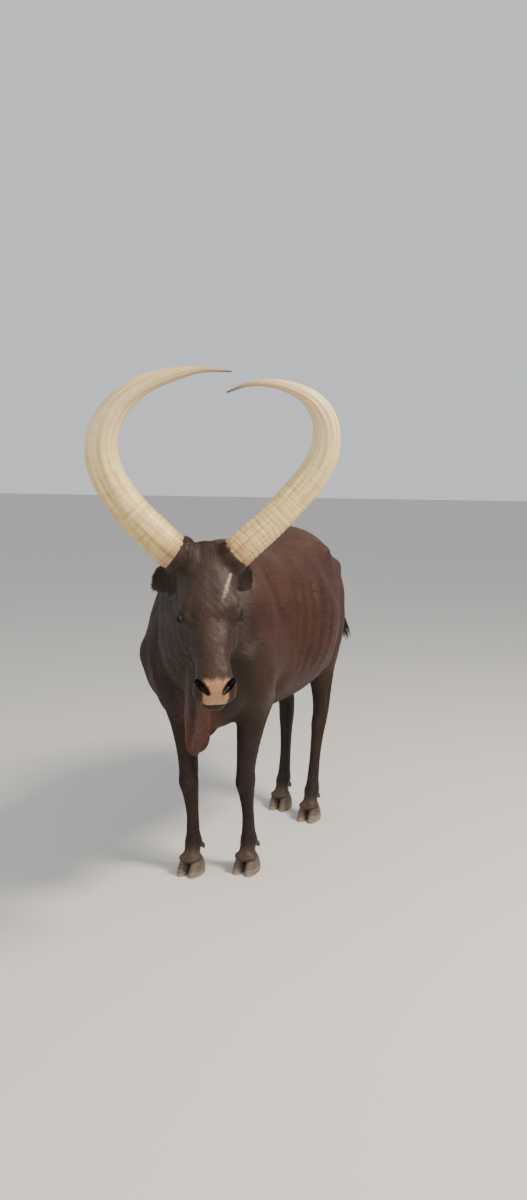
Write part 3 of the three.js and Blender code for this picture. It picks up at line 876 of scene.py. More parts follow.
def relax(piece: bpy.types.Object, rounds: int, share: Array | float, keep_size: bool = False) -> None:
    """Smooths a piece by moving each vertex towards the middle of its neighbours.

    Args:
        piece: The mesh to smooth.
        rounds: How many times to smooth it.
        share: How much of the way each vertex moves, one number or one for each vertex.
        keep_size: Moves it back out between rounds, so that thin parts don't shrink.
    """
    points = points_of(piece)
    a, b = neighbours(piece)
    count = np.maximum(np.bincount(a, minlength=len(points)) + np.bincount(b, minlength=len(points)), 1)
    weight = (np.zeros(len(points)) + share)[:, None]
    for i in range(rounds * (2 if keep_size else 1)):
        total = np.stack(
            [
                np.bincount(a, points[b, k], len(points)) + np.bincount(b, points[a, k], len(points))
                for k in range(3)
            ],
            1,
        )
        step = total / count[:, None] - points
        points = points + step * weight * (1.0 if not keep_size or i % 2 == 0 else -1.02)
    set_points(piece, points)


def raise_skin(piece: bpy.types.Object, rise: Array) -> None:
    """Moves each vertex of a piece along its normal."""
    set_points(piece, points_of(piece) + normals_of(piece) * rise[:, None])


def thin_out(piece: bpy.types.Object, triangles: int) -> None:
    """Brings a piece down to about the given number of triangles.

    Args:
        piece: The mesh object.
        triangles: How many are to be left.
    """
    piece.data.calc_loop_triangles()
    have = len(piece.data.loop_triangles)
    if have > triangles:
        apply_modifier(piece, "DECIMATE", ratio=triangles / have, use_collapse_triangulate=True)


@dataclass
class SkinMaker:
    """Builds the one skin of the whole cow."""

    body_voxel: float = 0.0060
    head_voxel: float = 0.0026
    triangles: int = 190_000
    coat_depth: float = 0.0015
    teat_rows: tuple[float, ...] = (0.845, 0.925)
    teat_sections: tuple[tuple[float, float, float], ...] = (
        (0.036, 0.665, 0.013), (0.040, 0.625, 0.011), (0.041, 0.592, 0.008),
    )
    mouth_half: float = 0.066
    mouth_steps: int = 8
    seam_reach: float = 0.06

    def build(self) -> bpy.types.Object:
        """Returns the finished skin, in the animal's own axes."""
        body = self.body()
        head = self.head()
        skin = self.unite(body, head)
        LOG.info("skin: %d vertices", len(skin.data.vertices))
        return skin

    def body(self) -> bpy.types.Object:
        """Returns the trunk, neck, dewlap, udder, tail and legs as one smooth form."""
        sections = [((0, y, level), half, top - level, level - low) for y, level, half, top, low in TRUNK]
        lofts = {
            "trunk": Loft(sections, axis=BACKWARD, rings=120, sides=90, squareness=2.15),
            "neck": Loft(NECK, rings=60, sides=60),
            "dewlap": Loft(DEWLAP, rings=60, sides=40),
            "udder": Loft(UDDER, rings=40, sides=40),
            "tail": Loft([(p, r, r, r) for p, r in TAIL], rings=60, sides=20),
        }
        lofts |= {limb.name: leg_loft(limb) for limb in LIMBS}
        lofts |= self.teats()
        body = join("body", [new_object(name, *loft.mesh()) for name, loft in lofts.items()])
        apply_modifier(body, "REMESH", mode="VOXEL", voxel_size=self.body_voxel)
        points = points_of(body)
        high = smooth_step(points[:, 2], 0.55, 0.72)
        slim = smooth_step(np.abs(points[:, 1] - 0.6), 0.62, 0.70) * smooth_step(points[:, 1], 1.2, 1.26)
        relax(body, 26, 0.5 * high * (1 - slim) + 0.03)
        relax(body, 6, 0.5, keep_size=True)
        points = points_of(body)
        rise = sum(form.rise(points) for form in BODY_SWELLS)
        rise += ribs(points) + neck_folds(points) + limb_rise(points)
        rise += 0.0015 * ripple(points, 11, 0.12) * smooth_step(points[:, 2], 0.5, 0.7)
        raise_skin(body, rise)
        points = points_of(body)
        points[:, 0] += dewlap_pleats(points)
        set_points(body, points)
        relax(body, 2, 0.4, keep_size=True)
        return body

    def teats(self) -> dict[str, Loft]:
        """Returns the forms of the four teats by name."""
        made = {}
        for sign in (-1, 1):
            for y in self.teat_rows:
                sections = [((sign * out, y, height), r, r, r) for out, height, r in self.teat_sections]
                made[f"teat_{sign}_{y}"] = Loft(sections, hint=FORWARD, rings=16, sides=16)
        return made

    def head(self) -> bpy.types.Object:
        """Returns the skull, ears, lids, nostrils and mouth as one smooth form."""
        skull = []
        for down, half, depth, dip in SKULL:
            middle = depth * 0.42
            skull.append((HEAD.on(0, down, -middle - dip), half, middle, depth - middle))
        chin = [(HEAD.on(0, down, off), half, up, under) for down, half, off, up, under in CHIN]
        pieces = [
            new_object("skull", *Loft(skull, hint=HEAD.off, rings=150, sides=90, squareness=2.35).mesh()),
            new_object("chin", *Loft(chin, hint=HEAD.off, rings=60, sides=50).mesh()),
        ]
        axes = (HEAD.left, -HEAD.down, HEAD.off)
        for side in Side:
            s = side.value
            brow = [(HEAD.on(s * a, d, o), half, top, low) for a, d, o, half, top, low in BROW]
            pieces.append(new_object("brow", *Loft(brow, hint=HEAD.off, rings=40, sides=30).mesh()))
            pieces.append(egg("cheek", HEAD.on(s * 0.066, 0.232, -0.140), (0.030, 0.095, 0.062), axes))
            pieces.append(self.collar(side))
            pieces.append(egg("lids", eye_centre(side), (LID_RADIUS,) * 3, axes))
            pieces.append(self.ear(side))
        head = join("head", pieces)
        apply_modifier(head, "REMESH", mode="VOXEL", voxel_size=self.head_voxel)
        points = points_of(head)
        near_eye = np.min([np.linalg.norm(points - eye_centre(side), axis=1) for side in Side], axis=0)
        local = HEAD.local(points)
        ears = smooth_step(np.abs(local[:, 0]), 0.112, 0.122)
        open_skin = smooth_step(near_eye, 0.022, 0.040) * (1 - ears)
        relax(head, 30, 0.5 * open_skin + 0.04)
        relax(head, 70, 0.5 * self.round_collars(points_of(head)) * (1 - ears))
        relax(head, 5, 0.5, keep_size=True)
        local = HEAD.local(points_of(head))
        rise = sum(form.rise(local) for form in HEAD_SWELLS) * (1 - ears)
        raise_skin(head, rise)
        self.cut_openings(head)
        points = points_of(head)
        raise_skin(head, eye_creases(points) + 0.0006 * ripple(points, 21, 0.03))
        return head

    def ear(self, side: Side) -> bpy.types.Object:
        """Returns one leaf-shaped ear with its cup cut out.

        Args:
            side: Which side of the cow.

        Returns:
            The ear, not yet joined to the head.
        """
        root, along, opening = ear_axes(side)
        leaf = [(root + along * at, half, half * 0.34 + 0.004, half * 0.34 + 0.005) for at, half in EAR_LEAF]
        cup = []
        for at, half in EAR_LEAF[1:]:
            lip = max(half - 0.006, 0.002)
            place = root + along * (at + 0.004) + opening * (half * 0.42 + 0.005)
            cup.append((place, lip, lip * 0.5 + 0.002, lip * 0.76 + 0.001))
        made = new_object("ear", *Loft(leaf, hint=opening, rings=60, sides=50).mesh())
        boolean(made, new_object("cup", *Loft(cup, hint=opening, rings=50, sides=40).mesh()), Join.CUT)
        return made

    def collar(self, side: Side) -> bpy.types.Object:
        """Returns the collar of skin that the base of a horn grows out of.

        Args:
            side: Which side of the cow.

        Returns:
            The collar, not yet joined to the head.
        """
        (o0, u0, a0, r0), (o1, u1, a1, r1) = HORN_SECTIONS[side][:2]
        first = HEAD.by_poll(side.value * o0, u0, a0)
        second = HEAD.by_poll(side.value * o1, u1, a1)
        way = unit(second - first)
        end = second + way * COLLAR_END[side]
        sections = [(first - way * 0.035, 0.030, 0.030, 0.030), (first - way * 0.010, r0, r0, r0)]
        for back, extra in ((-0.024, 0.0045), (-0.008, 0.0040), (0.001, 0.0015), (0.006, -0.006)):
            sections.append((end + way * back,) + (r1 + extra,) * 3)
        return new_object("collar", *Loft(sections, hint=HEAD.ahead, rings=40, sides=60).mesh())

    def round_collars(self, points: Array) -> Array:
        """Returns 1 where the horns' collars meet the forehead, and 0 at their outer rims.

        Args:
            points: Places in the animal's axes, one row each.

        Returns:
            A share from 0 to 1 for each point.
        """
        total = np.zeros(len(points))
        for side in Side:
            crease = HEAD.by_poll(side.value * 0.040, -0.055, 0.010)
            total = np.maximum(total, smooth_step(-np.linalg.norm(points - crease, axis=1), -0.072, -0.040))
        return total

    def cut_openings(self, head: bpy.types.Object) -> None:
        """Opens the lids, the nostrils and the mouth, and softens the rims round the muzzle.

        Args:
            head: The skin of the head.
        """
        for side in Side:
            s = side.value
            out, along, across = eye_axes(side)
            opening = egg("lid_opening", eye_centre(side) + out * 0.025, LID_OPENING, (along, across, out))
            boolean(head, opening, Join.CUT)
            radius = EYE_RADIUS + 0.0002
            ball = egg("socket", eye_centre(side), (radius, radius, radius), (along, across, out))
            boolean(head, ball, Join.CUT)
            nostril = [(HEAD.on(s * a, d, o), half, top + 0.008, low) for a, d, o, half, top, low in NOSTRIL]
            form = Loft(nostril, hint=HEAD.off, rings=40, sides=30)
            boolean(head, new_object("nostril", *form.mesh()), Join.CUT)
        boolean(head, new_object("mouth", *self.mouth().mesh()), Join.CUT)
        local = HEAD.local(points_of(head))
        muzzle = smooth_step(local[:, 1], 0.35, 0.38) * smooth_step(-np.abs(local[:, 0]), -0.11, -0.10)
        relax(head, 4, 0.45 * muzzle)

    def mouth(self) -> Loft:
        """Returns the thin form that cuts the line of the mouth, from corner to corner."""
        sections = []
        for step in range(-self.mouth_steps, self.mouth_steps + 1):
            bend = step / self.mouth_steps
            down = 0.497 - abs(bend) ** 2.4 * 0.125
            place = HEAD.on(bend * self.mouth_half, down, -0.097 - abs(bend) * 0.006)
            sections.append((place, 0.007, 0.0012, 0.0012))
        return Loft(sections, hint=HEAD.off, rings=80, sides=12)

    def unite(self, body: bpy.types.Object, head: bpy.types.Object) -> bpy.types.Object:
        """Returns body and head as one skin, with the line where they meet smoothed away.

        Args:
            body: The skin of the body.
            head: The skin of the head.

        Returns:
            The joined skin.
        """
        head_tree = BVHTree.FromObject(head, bpy.context.evaluated_depsgraph_get())
        body_tree = BVHTree.FromObject(body, bpy.context.evaluated_depsgraph_get())
        skin = body
        skin.name = skin.data.name = "skin"
        boolean(skin, head, Join.ADD)
        points = points_of(skin)
        share = np.zeros(len(points))
        near = np.linalg.norm(points - HEAD.on(0, 0.10, -0.14), axis=1) < 0.36
        for i in np.nonzero(near)[0]:
            here = Vector(points[i])
            gaps = [tree.find_nearest(here, self.seam_reach)[3] for tree in (head_tree, body_tree)]
            far = max(self.seam_reach if gap is None else gap for gap in gaps)
            share[i] = 1 - far / self.seam_reach
        local = HEAD.local(points)
        clear = np.abs(local[:, 0]) < 0.112
        share = smooth_step(share, 0.25, 0.75) * clear
        relax(skin, 40, 0.5 * share)
        raise_skin(skin, np.full(len(points), -self.coat_depth))
        thin_out(skin, self.triangles)
        return skin


# Colours of the coat; the neck's colour holds painted shade, the back's a painted sheen, the pale coronet
# colour is partly a painted highlight, and the near black also paints shade inside the nostrils
COAT_COLOURS = {
    "flank": "3b1f13",
    "back": "482e20",
    "neck": "25150b",
    "leg": "26160c",
    "foot": "24160d",
    "face": "302016",
    "nose_bridge": "402b1f",
    "nose_pad": "b78a64",
    "dewlap": "5c3226",
    "belly": "2e1a10",
    "inner_ear": "4a3022",
    "blaze": "c9b29a",
    "chin": "2e1d14",
    "black_hair_and_nostril_shade": "1c1412",
    "dust_and_highlight": "8a7560",
}


def linear(name_or_hex: str) -> Array:
    """Returns a linear colour for a name of the table or an sRGB hex code.

    Args:
        name_or_hex: A name of the table, or six hex digits.

    Returns:
        Red, green and blue, from 0 to 1.
    """
    code = COAT_COLOURS.get(name_or_hex, name_or_hex)
    value = np.array([int(code[i : i + 2], 16) / 255 for i in (0, 2, 4)])
    return np.where(value <= 0.04045, value / 12.92, ((value + 0.055) / 1.055) ** 2.4)


def blend(colours: Array, name: str, share: Array) -> Array:
    """Returns colours moved towards a named colour by share, one for each row."""
    share = np.clip(share, 0, 1)[:, None]
    return colours * (1 - share) + linear(name)[None, :] * share


def nose_pad(across: Array, down: Array, off: Array) -> Array:
    """Returns 1 on the bare pad between the nostrils and 0 off it.

    Args:
        across: Place across the head, in metres.
        down: Place down the face.
        off: Place off the face.

    Returns:
        A share from 0 to 1 for each point.
    """
    fall = np.clip(-off / 0.080, -0.5, 1.5)
    half = 0.041 - 0.013 * fall * np.abs(fall) + 0.0015 * np.sin(across * 300 + off * 260)
    round_end = (np.abs(across) / half) ** 4 + (np.abs(fall - 0.45) / 0.58) ** 6
    top = down + 0.003 * np.sin(across * 190 + 0.8) + 0.0015 * np.sin(across * 470)
    return smooth_step(-round_end, -1.5, -0.7) * smooth_step(top, 0.436, 0.455)


def nostril_share(across: Array, down: Array, off: Array, margin: float) -> Array:
    """Returns 1 in and round the nostrils, out to margin beyond their edges, and 0 elsewhere.

    Args:
        across: Place across the head, in metres.
        down: Place down the face.
        off: Place off the face.
        margin: How far it goes beyond the edge.

    Returns:
        A share from 0 to 1 for each point.
    """
    total = np.zeros(len(across))
    table = np.array(NOSTRIL)
    for at in np.linspace(0, len(table) - 1, 17):
        a, d, _, half, _, _ = (np.interp(at, np.arange(len(table)), column) for column in table.T)
        gap = np.hypot(np.abs(across) - a, down - d)
        total = np.maximum(total, smooth_step(-gap, -half - margin - 0.0015, -half - margin + 0.0015))
    return total * smooth_step(off, -0.085, -0.070) * smooth_step(down, 0.42, 0.43)


def coat_tone(points: Array) -> Array:
    """Returns the coat's colour at points of the skin, in the animal's own axes, with painted shade, sheen
    and highlight.

    Args:
        points: Places in the animal's axes, one row each.

    Returns:
        Linear red, green and blue, one row for each point.
    """
    x, y, z = points.T
    local = HEAD.local(points)
    across, down, off = local.T
    head = head_share(points)
    tone = np.tile(linear("flank"), (len(points), 1))
    # Painted sheen: the top of the back is lightened where the light falls on it.
    tone = blend(tone, "back", 0.8 * smooth_step(z, 1.12, 1.26) * smooth_step(y, 0.0, 0.2))
    tone = blend(tone, "belly", smooth_step(-z, -0.72, -0.60))
    # Painted shade: the front of the neck and the breast are darkened.
    tone = blend(tone, "neck", smooth_step(-y, -0.14, 0.05) * 0.9)
    tone = blend(tone, "leg", smooth_step(-z, -0.74, -0.56))
    tone = blend(tone, "foot", smooth_step(-z, -0.30, -0.15))
    # Paler round the coronets: partly dusty hair and partly a painted highlight.
    tone = blend(tone, "dust_and_highlight", 0.22 * smooth_step(-z, -0.13, -0.07))
    edge = smooth_step(-z, -0.88, -0.68) * smooth_step(-y, -0.10, 0.06) * smooth_step(z, 0.50, 0.54)
    tone = blend(tone, "dewlap", 0.60 * edge * smooth_step(-np.abs(x - 0.05), -0.10, -0.04))
    tone = blend(tone, "black_hair_and_nostril_shade", smooth_step(y, 1.30, 1.38))
    tone = blend(tone, "face", head)
    bridge = bump(across, 0, 0.034) * smooth_step(down, 0.16, 0.26) * smooth_step(off, -0.06, -0.02)
    tone = blend(tone, "nose_bridge", 0.8 * head * bridge)
    blaze = bump(across, 0.061 - 0.36 * (down - 0.115), 0.0034 - 0.012 * np.clip(down - 0.115, 0, 0.12))
    blaze = blaze * smooth_step(down, 0.092, 0.104) * smooth_step(-down, -0.205, -0.155)
    blaze = blaze * smooth_step(off, -0.06, -0.04)
    tone = blend(tone, "blaze", head * 0.8 * blaze)
    tone = blend(tone, "nose_pad", head * nose_pad(across, down, off))
    # Painted shade: the insides of the nostrils and a thin rim round them are darkened to near black.
    tone = blend(tone, "black_hair_and_nostril_shade", head * 0.95 * nostril_share(across, down, off, 0.0012))
    tone = blend(tone, "chin", head * smooth_step(down, 0.42, 0.47) * smooth_step(-off, 0.098, 0.106))
    for side in Side:
        root, along, opening = ear_axes(side)
        d = points - root
        inside = smooth_step(d @ along, 0.01, 0.04) * smooth_step(d @ opening, -0.012, 0.004)
        inside = inside * smooth_step(-np.linalg.norm(d, axis=1), -0.19, -0.17)
        inside = inside * bump(d @ np.cross(along, opening), 0, 0.024)
        tone = blend(tone, "inner_ear", 0.7 * inside)
        out, lid_along, lid_across = eye_axes(side)
        e = points - eye_centre(side)
        ring = np.hypot(e @ lid_along / 1.5, e @ lid_across)
        rim = bump(ring, 0.0135, 0.005) * smooth_step(e @ out, 0.004, 0.012)
        tone = blend(tone, "black_hair_and_nostril_shade", 0.8 * rim)
    mottle = 1 + 0.10 * ripple(points, 31, 0.16) + 0.06 * ripple(points, 32, 0.035)
    return tone * mottle[:, None]


def coat_lie(points: Array) -> Array:
    """Returns the way the hair lies at each point, not yet laid along the skin.

    Args:
        points: Places in the animal's axes, one row each.

    Returns:
        A direction for each point.
    """
    down_face = HEAD.local(points)[:, 1]
    trunk = np.array([0.0, 1.0, -0.38])
    leg = np.array([0.0, 0.12, -1.0])
    neck = np.array([-0.22, 0.66, -0.62])
    legs = leg_share(points)[:, None]
    necks = smooth_step(-points[:, 1], -0.10, 0.08)[:, None]
    lie = (trunk * (1 - necks) + neck * necks) * (1 - legs) + leg * legs
    across = HEAD.local(points)[:, :1]
    from_whorl = (down_face - 0.150)[:, None]
    face = HEAD.down[None, :] * from_whorl * 2 + HEAD.left[None, :] * across
    face /= np.maximum(np.linalg.norm(face, axis=1), 1e-6)[:, None]
    head = head_share(points)[:, None]
    lie = lie * (1 - head) + face * head
    for side in Side:
        root, along, _ = ear_axes(side)
        d = points - root
        at = d @ along
        beside = np.linalg.norm(d - at[:, None] * along, axis=1)
        on_ear = smooth_step(at, 0.0, 0.02) * (beside < 0.06) * (at < 0.2)
        lie = lie * (1 - on_ear[:, None]) + along[None, :] * on_ear[:, None]
    tail = smooth_step(points[:, 1], 1.27, 1.30)[:, None]
    lie = lie * (1 - tail) + np.array([0.0, 0.42, -0.9]) * tail
    return lie


def paint(piece: bpy.types.Object, colours: Array) -> None:
    """Stores a colour on each vertex of a piece.

    Args:
        piece: The mesh object.
        colours: Linear red, green and blue, one row for each vertex.
    """
    layer = piece.data.color_attributes.new("Tone", "FLOAT_COLOR", "POINT")
    opaque = np.hstack([colours, np.ones((len(colours), 1))])
    layer.data.foreach_set("color", opaque.astype(np.float32).ravel())


class Finish:
    """A procedural material, built node by node."""

    def __init__(self, name: str, **sockets: object) -> None:
        """Starts a material with its constant shader sockets.

        Args:
            name: The real finish that it stands for.
            sockets: Values of the shader's own sockets, with _ for each space.
        """
        self.material = bpy.data.materials.new(name)
        self.material.use_nodes = True
        self.tree = self.material.node_tree
        self.shader = self.tree.nodes["Principled BSDF"]
        for key, value in sockets.items():
            self.shader.inputs[key.replace("_", " ")].default_value = value

    def node(self, kind: str, inputs: dict | None = None, **settings: object) -> bpy.types.Node:
        """Adds one node.

        Args:
            kind: The node's type, without its first words.
            inputs: Sockets to link from, or constant values, by the name or number of the input.
            settings: The node's own settings.

        Returns:
            The node.
        """
        made = self.tree.nodes.new("ShaderNode" + kind)
        for key, value in settings.items():
            setattr(made, key, value)
        for key, value in (inputs or {}).items():
            if isinstance(value, bpy.types.NodeSocket):
                self.tree.links.new(value, made.inputs[key])
            else:
                made.inputs[key].default_value = value
        return made

    def object_place(self) -> bpy.types.NodeSocket:
        """Returns the place on the piece, in metres."""
        return self.node("TexCoord").outputs["Object"]

    def noise(
        self, place: bpy.types.NodeSocket, size: Sequence[float], **inputs: float
    ) -> bpy.types.NodeSocket:
        """Adds noise.

        Args:
            place: Where the pattern is read, in metres.
            size: Size of its features along each axis, in millimetres.
            inputs: The noise's own Detail and Roughness.

        Returns:
            Its value, from 0 to 1.
        """
        scale = tuple(1000 / mm for mm in size)
        stretched = self.node("Mapping", {"Vector": place, "Scale": scale}).outputs["Vector"]
        return self.node("TexNoise", {"Vector": stretched, "Scale": 1.0} | inputs).outputs["Fac"]

    def ramp(self, factor: bpy.types.NodeSocket, stops: Sequence[tuple[float, str]]) -> bpy.types.NodeSocket:
        """Adds a colour ramp.

        Args:
            factor: The value that it colours.
            stops: Places from 0 to 1, each with its hex colour.

        Returns:
            The colour.
        """
        made = self.node("ValToRGB", {"Fac": factor})
        elements = made.color_ramp.elements
        while len(elements) < len(stops):
            elements.new(0.5)
        for element, (place, code) in zip(elements, stops):
            element.position = place
            element.color = (*linear(code), 1)
        return made.outputs["Color"]

    def mix(self, factor: object, a: object, b: object, blend_type: str = "MIX") -> bpy.types.NodeSocket:
        """Mixes two colours, 6 and 7 being the colour inputs of the node.

        Args:
            factor: How much of b shows, a socket or a number.
            a: The first colour.
            b: The second colour.
            blend_type: How they mix.

        Returns:
            The mixed colour.
        """
        return self.node("Mix", {0: factor, 6: a, 7: b}, data_type="RGBA", blend_type=blend_type).outputs[2]

    def shaded(self, base: object, shade: object, share: object = 1.0) -> bpy.types.NodeSocket:
        """Darkens a colour by another one.

        Args:
            base: The colour.
            shade: What it is multiplied by.
            share: How much of that shows.

        Returns:
            The darker colour.
        """
        darker = self.mix(1.0, base, shade, "MULTIPLY")
        return darker if share == 1.0 else self.mix(share, base, darker)

    def math(self, operation: str, a: object, b: object = 0.0) -> bpy.types.NodeSocket:
        """Returns the result of one sum on two values."""
        return self.node("Math", {0: a, 1: b}, operation=operation).outputs[0]

    def attribute(self, name: str, output: str = "Fac") -> bpy.types.NodeSocket:
        """Returns a value that the mesh carries."""
        return self.node("Attribute", attribute_name=name).outputs[output]

    def link(self, name: str, socket: bpy.types.NodeSocket) -> None:
        """Links a value to a socket of the shader."""
        self.tree.links.new(socket, self.shader.inputs[name])

    def bump(self, height: bpy.types.NodeSocket, distance: float, strength: float = 1.0) -> None:
        """Adds a relief over those that are there.

        Args:
            height: Its form, from 0 to 1.
            distance: Its depth in metres.
            strength: How much of it shows.
        """
        made = self.node("Bump", {"Height": height, "Distance": distance, "Strength": strength})
        previous = self.shader.inputs["Normal"]
        if previous.is_linked:
            self.tree.links.new(previous.links[0].from_socket, made.inputs["Normal"])
        self.tree.links.new(made.outputs["Normal"], previous)


@dataclass(frozen=True)
class SleekCoat:
    """Short sleek hair over hide: fine streaks along the lie, and bare hide with its pebbled grain.

    Single hairs are too fine to show, so the streaks are drawn about 2 mm wide.
    """

    streak_width: float = 2.08
    streak_length: float = 16.1
    trunk_streak_height: float = 3.33
    patch: float = 111.0
    pebble: float = 3.85
    wrinkle: tuple[float, float, float] = (18.2, 18.2, 26.3)
    hair_roughness: float = 0.54
    wet_share: float = 0.20

    def material(self) -> bpy.types.Material:
        """Returns the material, in the colour that the mesh carries."""
        finish = Finish("short sleek coat", Roughness=0.5, Specular_IOR_Level=0.28)
        place = finish.object_place()
        trunk_size = (self.streak_width, self.streak_length, self.trunk_streak_height)
        along_trunk = finish.noise(place, trunk_size, Detail=3.0)
        down_leg = finish.noise(place, (self.streak_width, self.streak_width, self.streak_length), Detail=3.0)
        upright = finish.attribute("Upright")
        streaks = finish.math(
            "ADD",
            finish.math("MULTIPLY", along_trunk, finish.math("SUBTRACT", 1.0, upright)),
            finish.math("MULTIPLY", down_leg, upright),
        )
        shade = finish.ramp(streaks, [(0.30, "9c9c9c"), (0.52, "ffffff"), (0.72, "ffffff")])
        patches = finish.noise(place, (self.patch,) * 3, Detail=4.0)
        base = finish.shaded(finish.attribute("Tone", "Color"), shade)
        base = finish.shaded(base, finish.ramp(patches, [(0.35, "d8d2d0"), (0.65, "ffffff")]))
        finish.link("Base Color", base)
        bare = finish.attribute("Bare")
        wet = finish.math("MULTIPLY", bare, self.wet_share)
        finish.link("Roughness", finish.math("SUBTRACT", self.hair_roughness, wet))
        finish.bump(finish.math("MULTIPLY", streaks, finish.math("SUBTRACT", 1.0, bare)), 0.0011, 0.75)
        pebbles = finish.node("TexVoronoi", {"Vector": place, "Scale": 1000 / self.pebble})
        finish.bump(finish.math("MULTIPLY", pebbles.outputs["Distance"], bare), 0.0012, 0.8)
        finish.bump(finish.noise(place, self.wrinkle, Detail=5.0), 0.0018, 0.5)
        return finish.material


@dataclass(frozen=True)
class CoarseHair:
    """Coarse dark hair of the lashes and the switch, a little uneven along each lock."""

    name: str
    grain: float = 3.33
    roughness: float = 0.45

    def material(self) -> bpy.types.Material:
        """Returns the material, in the colour that the mesh carries."""
        finish = Finish(self.name, Roughness=self.roughness, Specular_IOR_Level=0.4)
        grain = finish.noise(finish.object_place(), (self.grain,) * 3, Detail=3.0)
        shade = finish.ramp(grain, [(0.3, "c4c0be"), (0.7, "ffffff")])
        finish.link("Base Color", finish.shaded(finish.attribute("Tone", "Color"), shade))
        return finish.material


@dataclass(frozen=True)
class CreamHorn:
    """Cream horn sheath, worn smooth: growth rings low down, lengthwise cracks and a darker tip.

    Sizes are across and along the horn, in millimetres, measured at its base.
    """

    stain: tuple[float, float] = (11.1, 200.0)
    crack: tuple[float, float] = (2.94, 312.5)
    ring: tuple[float, float] = (83.3, 13.51)
    base_width: float = 100.0

    def pattern(self, finish: Finish, size: tuple[float, float], **inputs: float) -> bpy.types.NodeSocket:
        """Adds noise that runs round and along the horn.

        Args:
            finish: The material.
            size: Size of its features across and along, in millimetres.
            inputs: The noise's own Detail and Roughness.

        Returns:
            Its value, from 0 to 1.
        """
        across = size[0] * 1000 / self.base_width
        around = finish.attribute("Around", "Vector")
        return finish.noise(around, (across, across, size[1]), **inputs)

    def material(self) -> bpy.types.Material:
        """Returns the material."""
        finish = Finish("cream horn", Roughness=0.42, Specular_IOR_Level=0.5)
        along = finish.attribute("Along")
        stain = self.pattern(finish, self.stain, Detail=6.0, Roughness=0.65)
        crack = self.pattern(finish, self.crack, Detail=5.0)
        ring = self.pattern(finish, self.ring, Detail=4.0)
        shift = finish.math("MULTIPLY", finish.math("SUBTRACT", stain, 0.5), 0.14)
        base = finish.ramp(finish.math("ADD", along, shift), [
            (0.00, "84644c"), (0.05, "b0906a"), (0.10, "d2b886"), (0.20, "e0cb94"),
            (0.45, "e6d29c"), (0.70, "e2cda0"), (0.86, "ccb48c"), (0.95, "a68e72"), (1.0, "574840"),
        ])
        low = finish.math("SUBTRACT", 1.0, finish.math("MULTIPLY", along, 1.7))
        low = finish.node("Clamp", {"Value": low, "Min": 0.06, "Max": 0.6}).outputs[0]
        ring_shade = finish.ramp(ring, [(0.34, "ccb896"), (0.46, "f4ebd8"), (0.66, "ffffff")])
        base = finish.shaded(base, ring_shade, low)
        crack_shade = finish.ramp(crack, [(0.29, "8c7560"), (0.36, "ece2d0"), (0.60, "ffffff")])
        base = finish.shaded(base, crack_shade, 0.4)
        base = finish.shaded(base, finish.ramp(stain, [(0.36, "d6c6a4"), (0.60, "ffffff")]), 0.8)
        finish.link("Base Color", base)
        finish.bump(ring, 0.0009, 0.5)
        finish.bump(crack, 0.0006, 0.45)
        return finish.material


@dataclass(frozen=True)
class HoofHorn:
    """Grey-brown hoof horn with level growth bands, paler near the sole: partly dusty horn and partly a
    painted highlight.
    """

    band: tuple[float, float, float] = (55.6, 55.6, 4.76)

    def material(self) -> bpy.types.Material:
        """Returns the material."""
        finish = Finish("grey brown hoof", Roughness=0.55, Specular_IOR_Level=0.4)
        place = finish.object_place()
        bands = finish.noise(place, self.band, Detail=4.0)
        height = finish.node("SeparateXYZ", {"Vector": place}).outputs["Z"]
        # Paler towards the sole: partly dusty horn and partly a painted highlight.
        base = finish.ramp(finish.math("MULTIPLY", height, 12.0), [
            (0.0, "8d8072"), (0.35, "62564b"), (0.9, "453a34"),
        ])
        base = finish.shaded(base, finish.ramp(bands, [(0.35, "8a8078"), (0.6, "ffffff")]), 0.7)
        finish.link("Base Color", base)
        finish.bump(bands, 0.0012, 0.8)
        return finish.material


@dataclass(frozen=True)
class WetEye:
    """Dark wet eye: a brown iris, a level pupil and a thin film of tears that gives it its glint."""

    roughness: float = 0.2
    film: float = 0.12

    def material(self) -> bpy.types.Material:
        """Returns the material."""
        finish = Finish("dark wet eye", Roughness=self.roughness, Specular_IOR_Level=0.35,
                        Coat_Weight=self.film, Coat_Roughness=0.05)
        base = finish.ramp(finish.attribute("Gaze"), [
            (0.0, "1c110b"), (0.55, "21140d"), (0.72, "0e0a08"), (0.80, "241c18"), (0.97, "4a3c36"),
        ])
        pupil = finish.math("LESS_THAN", finish.attribute("Pupil"), 1.0)
        finish.link("Base Color", finish.mix(pupil, base, (*linear("040404"), 1)))
        return finish.material


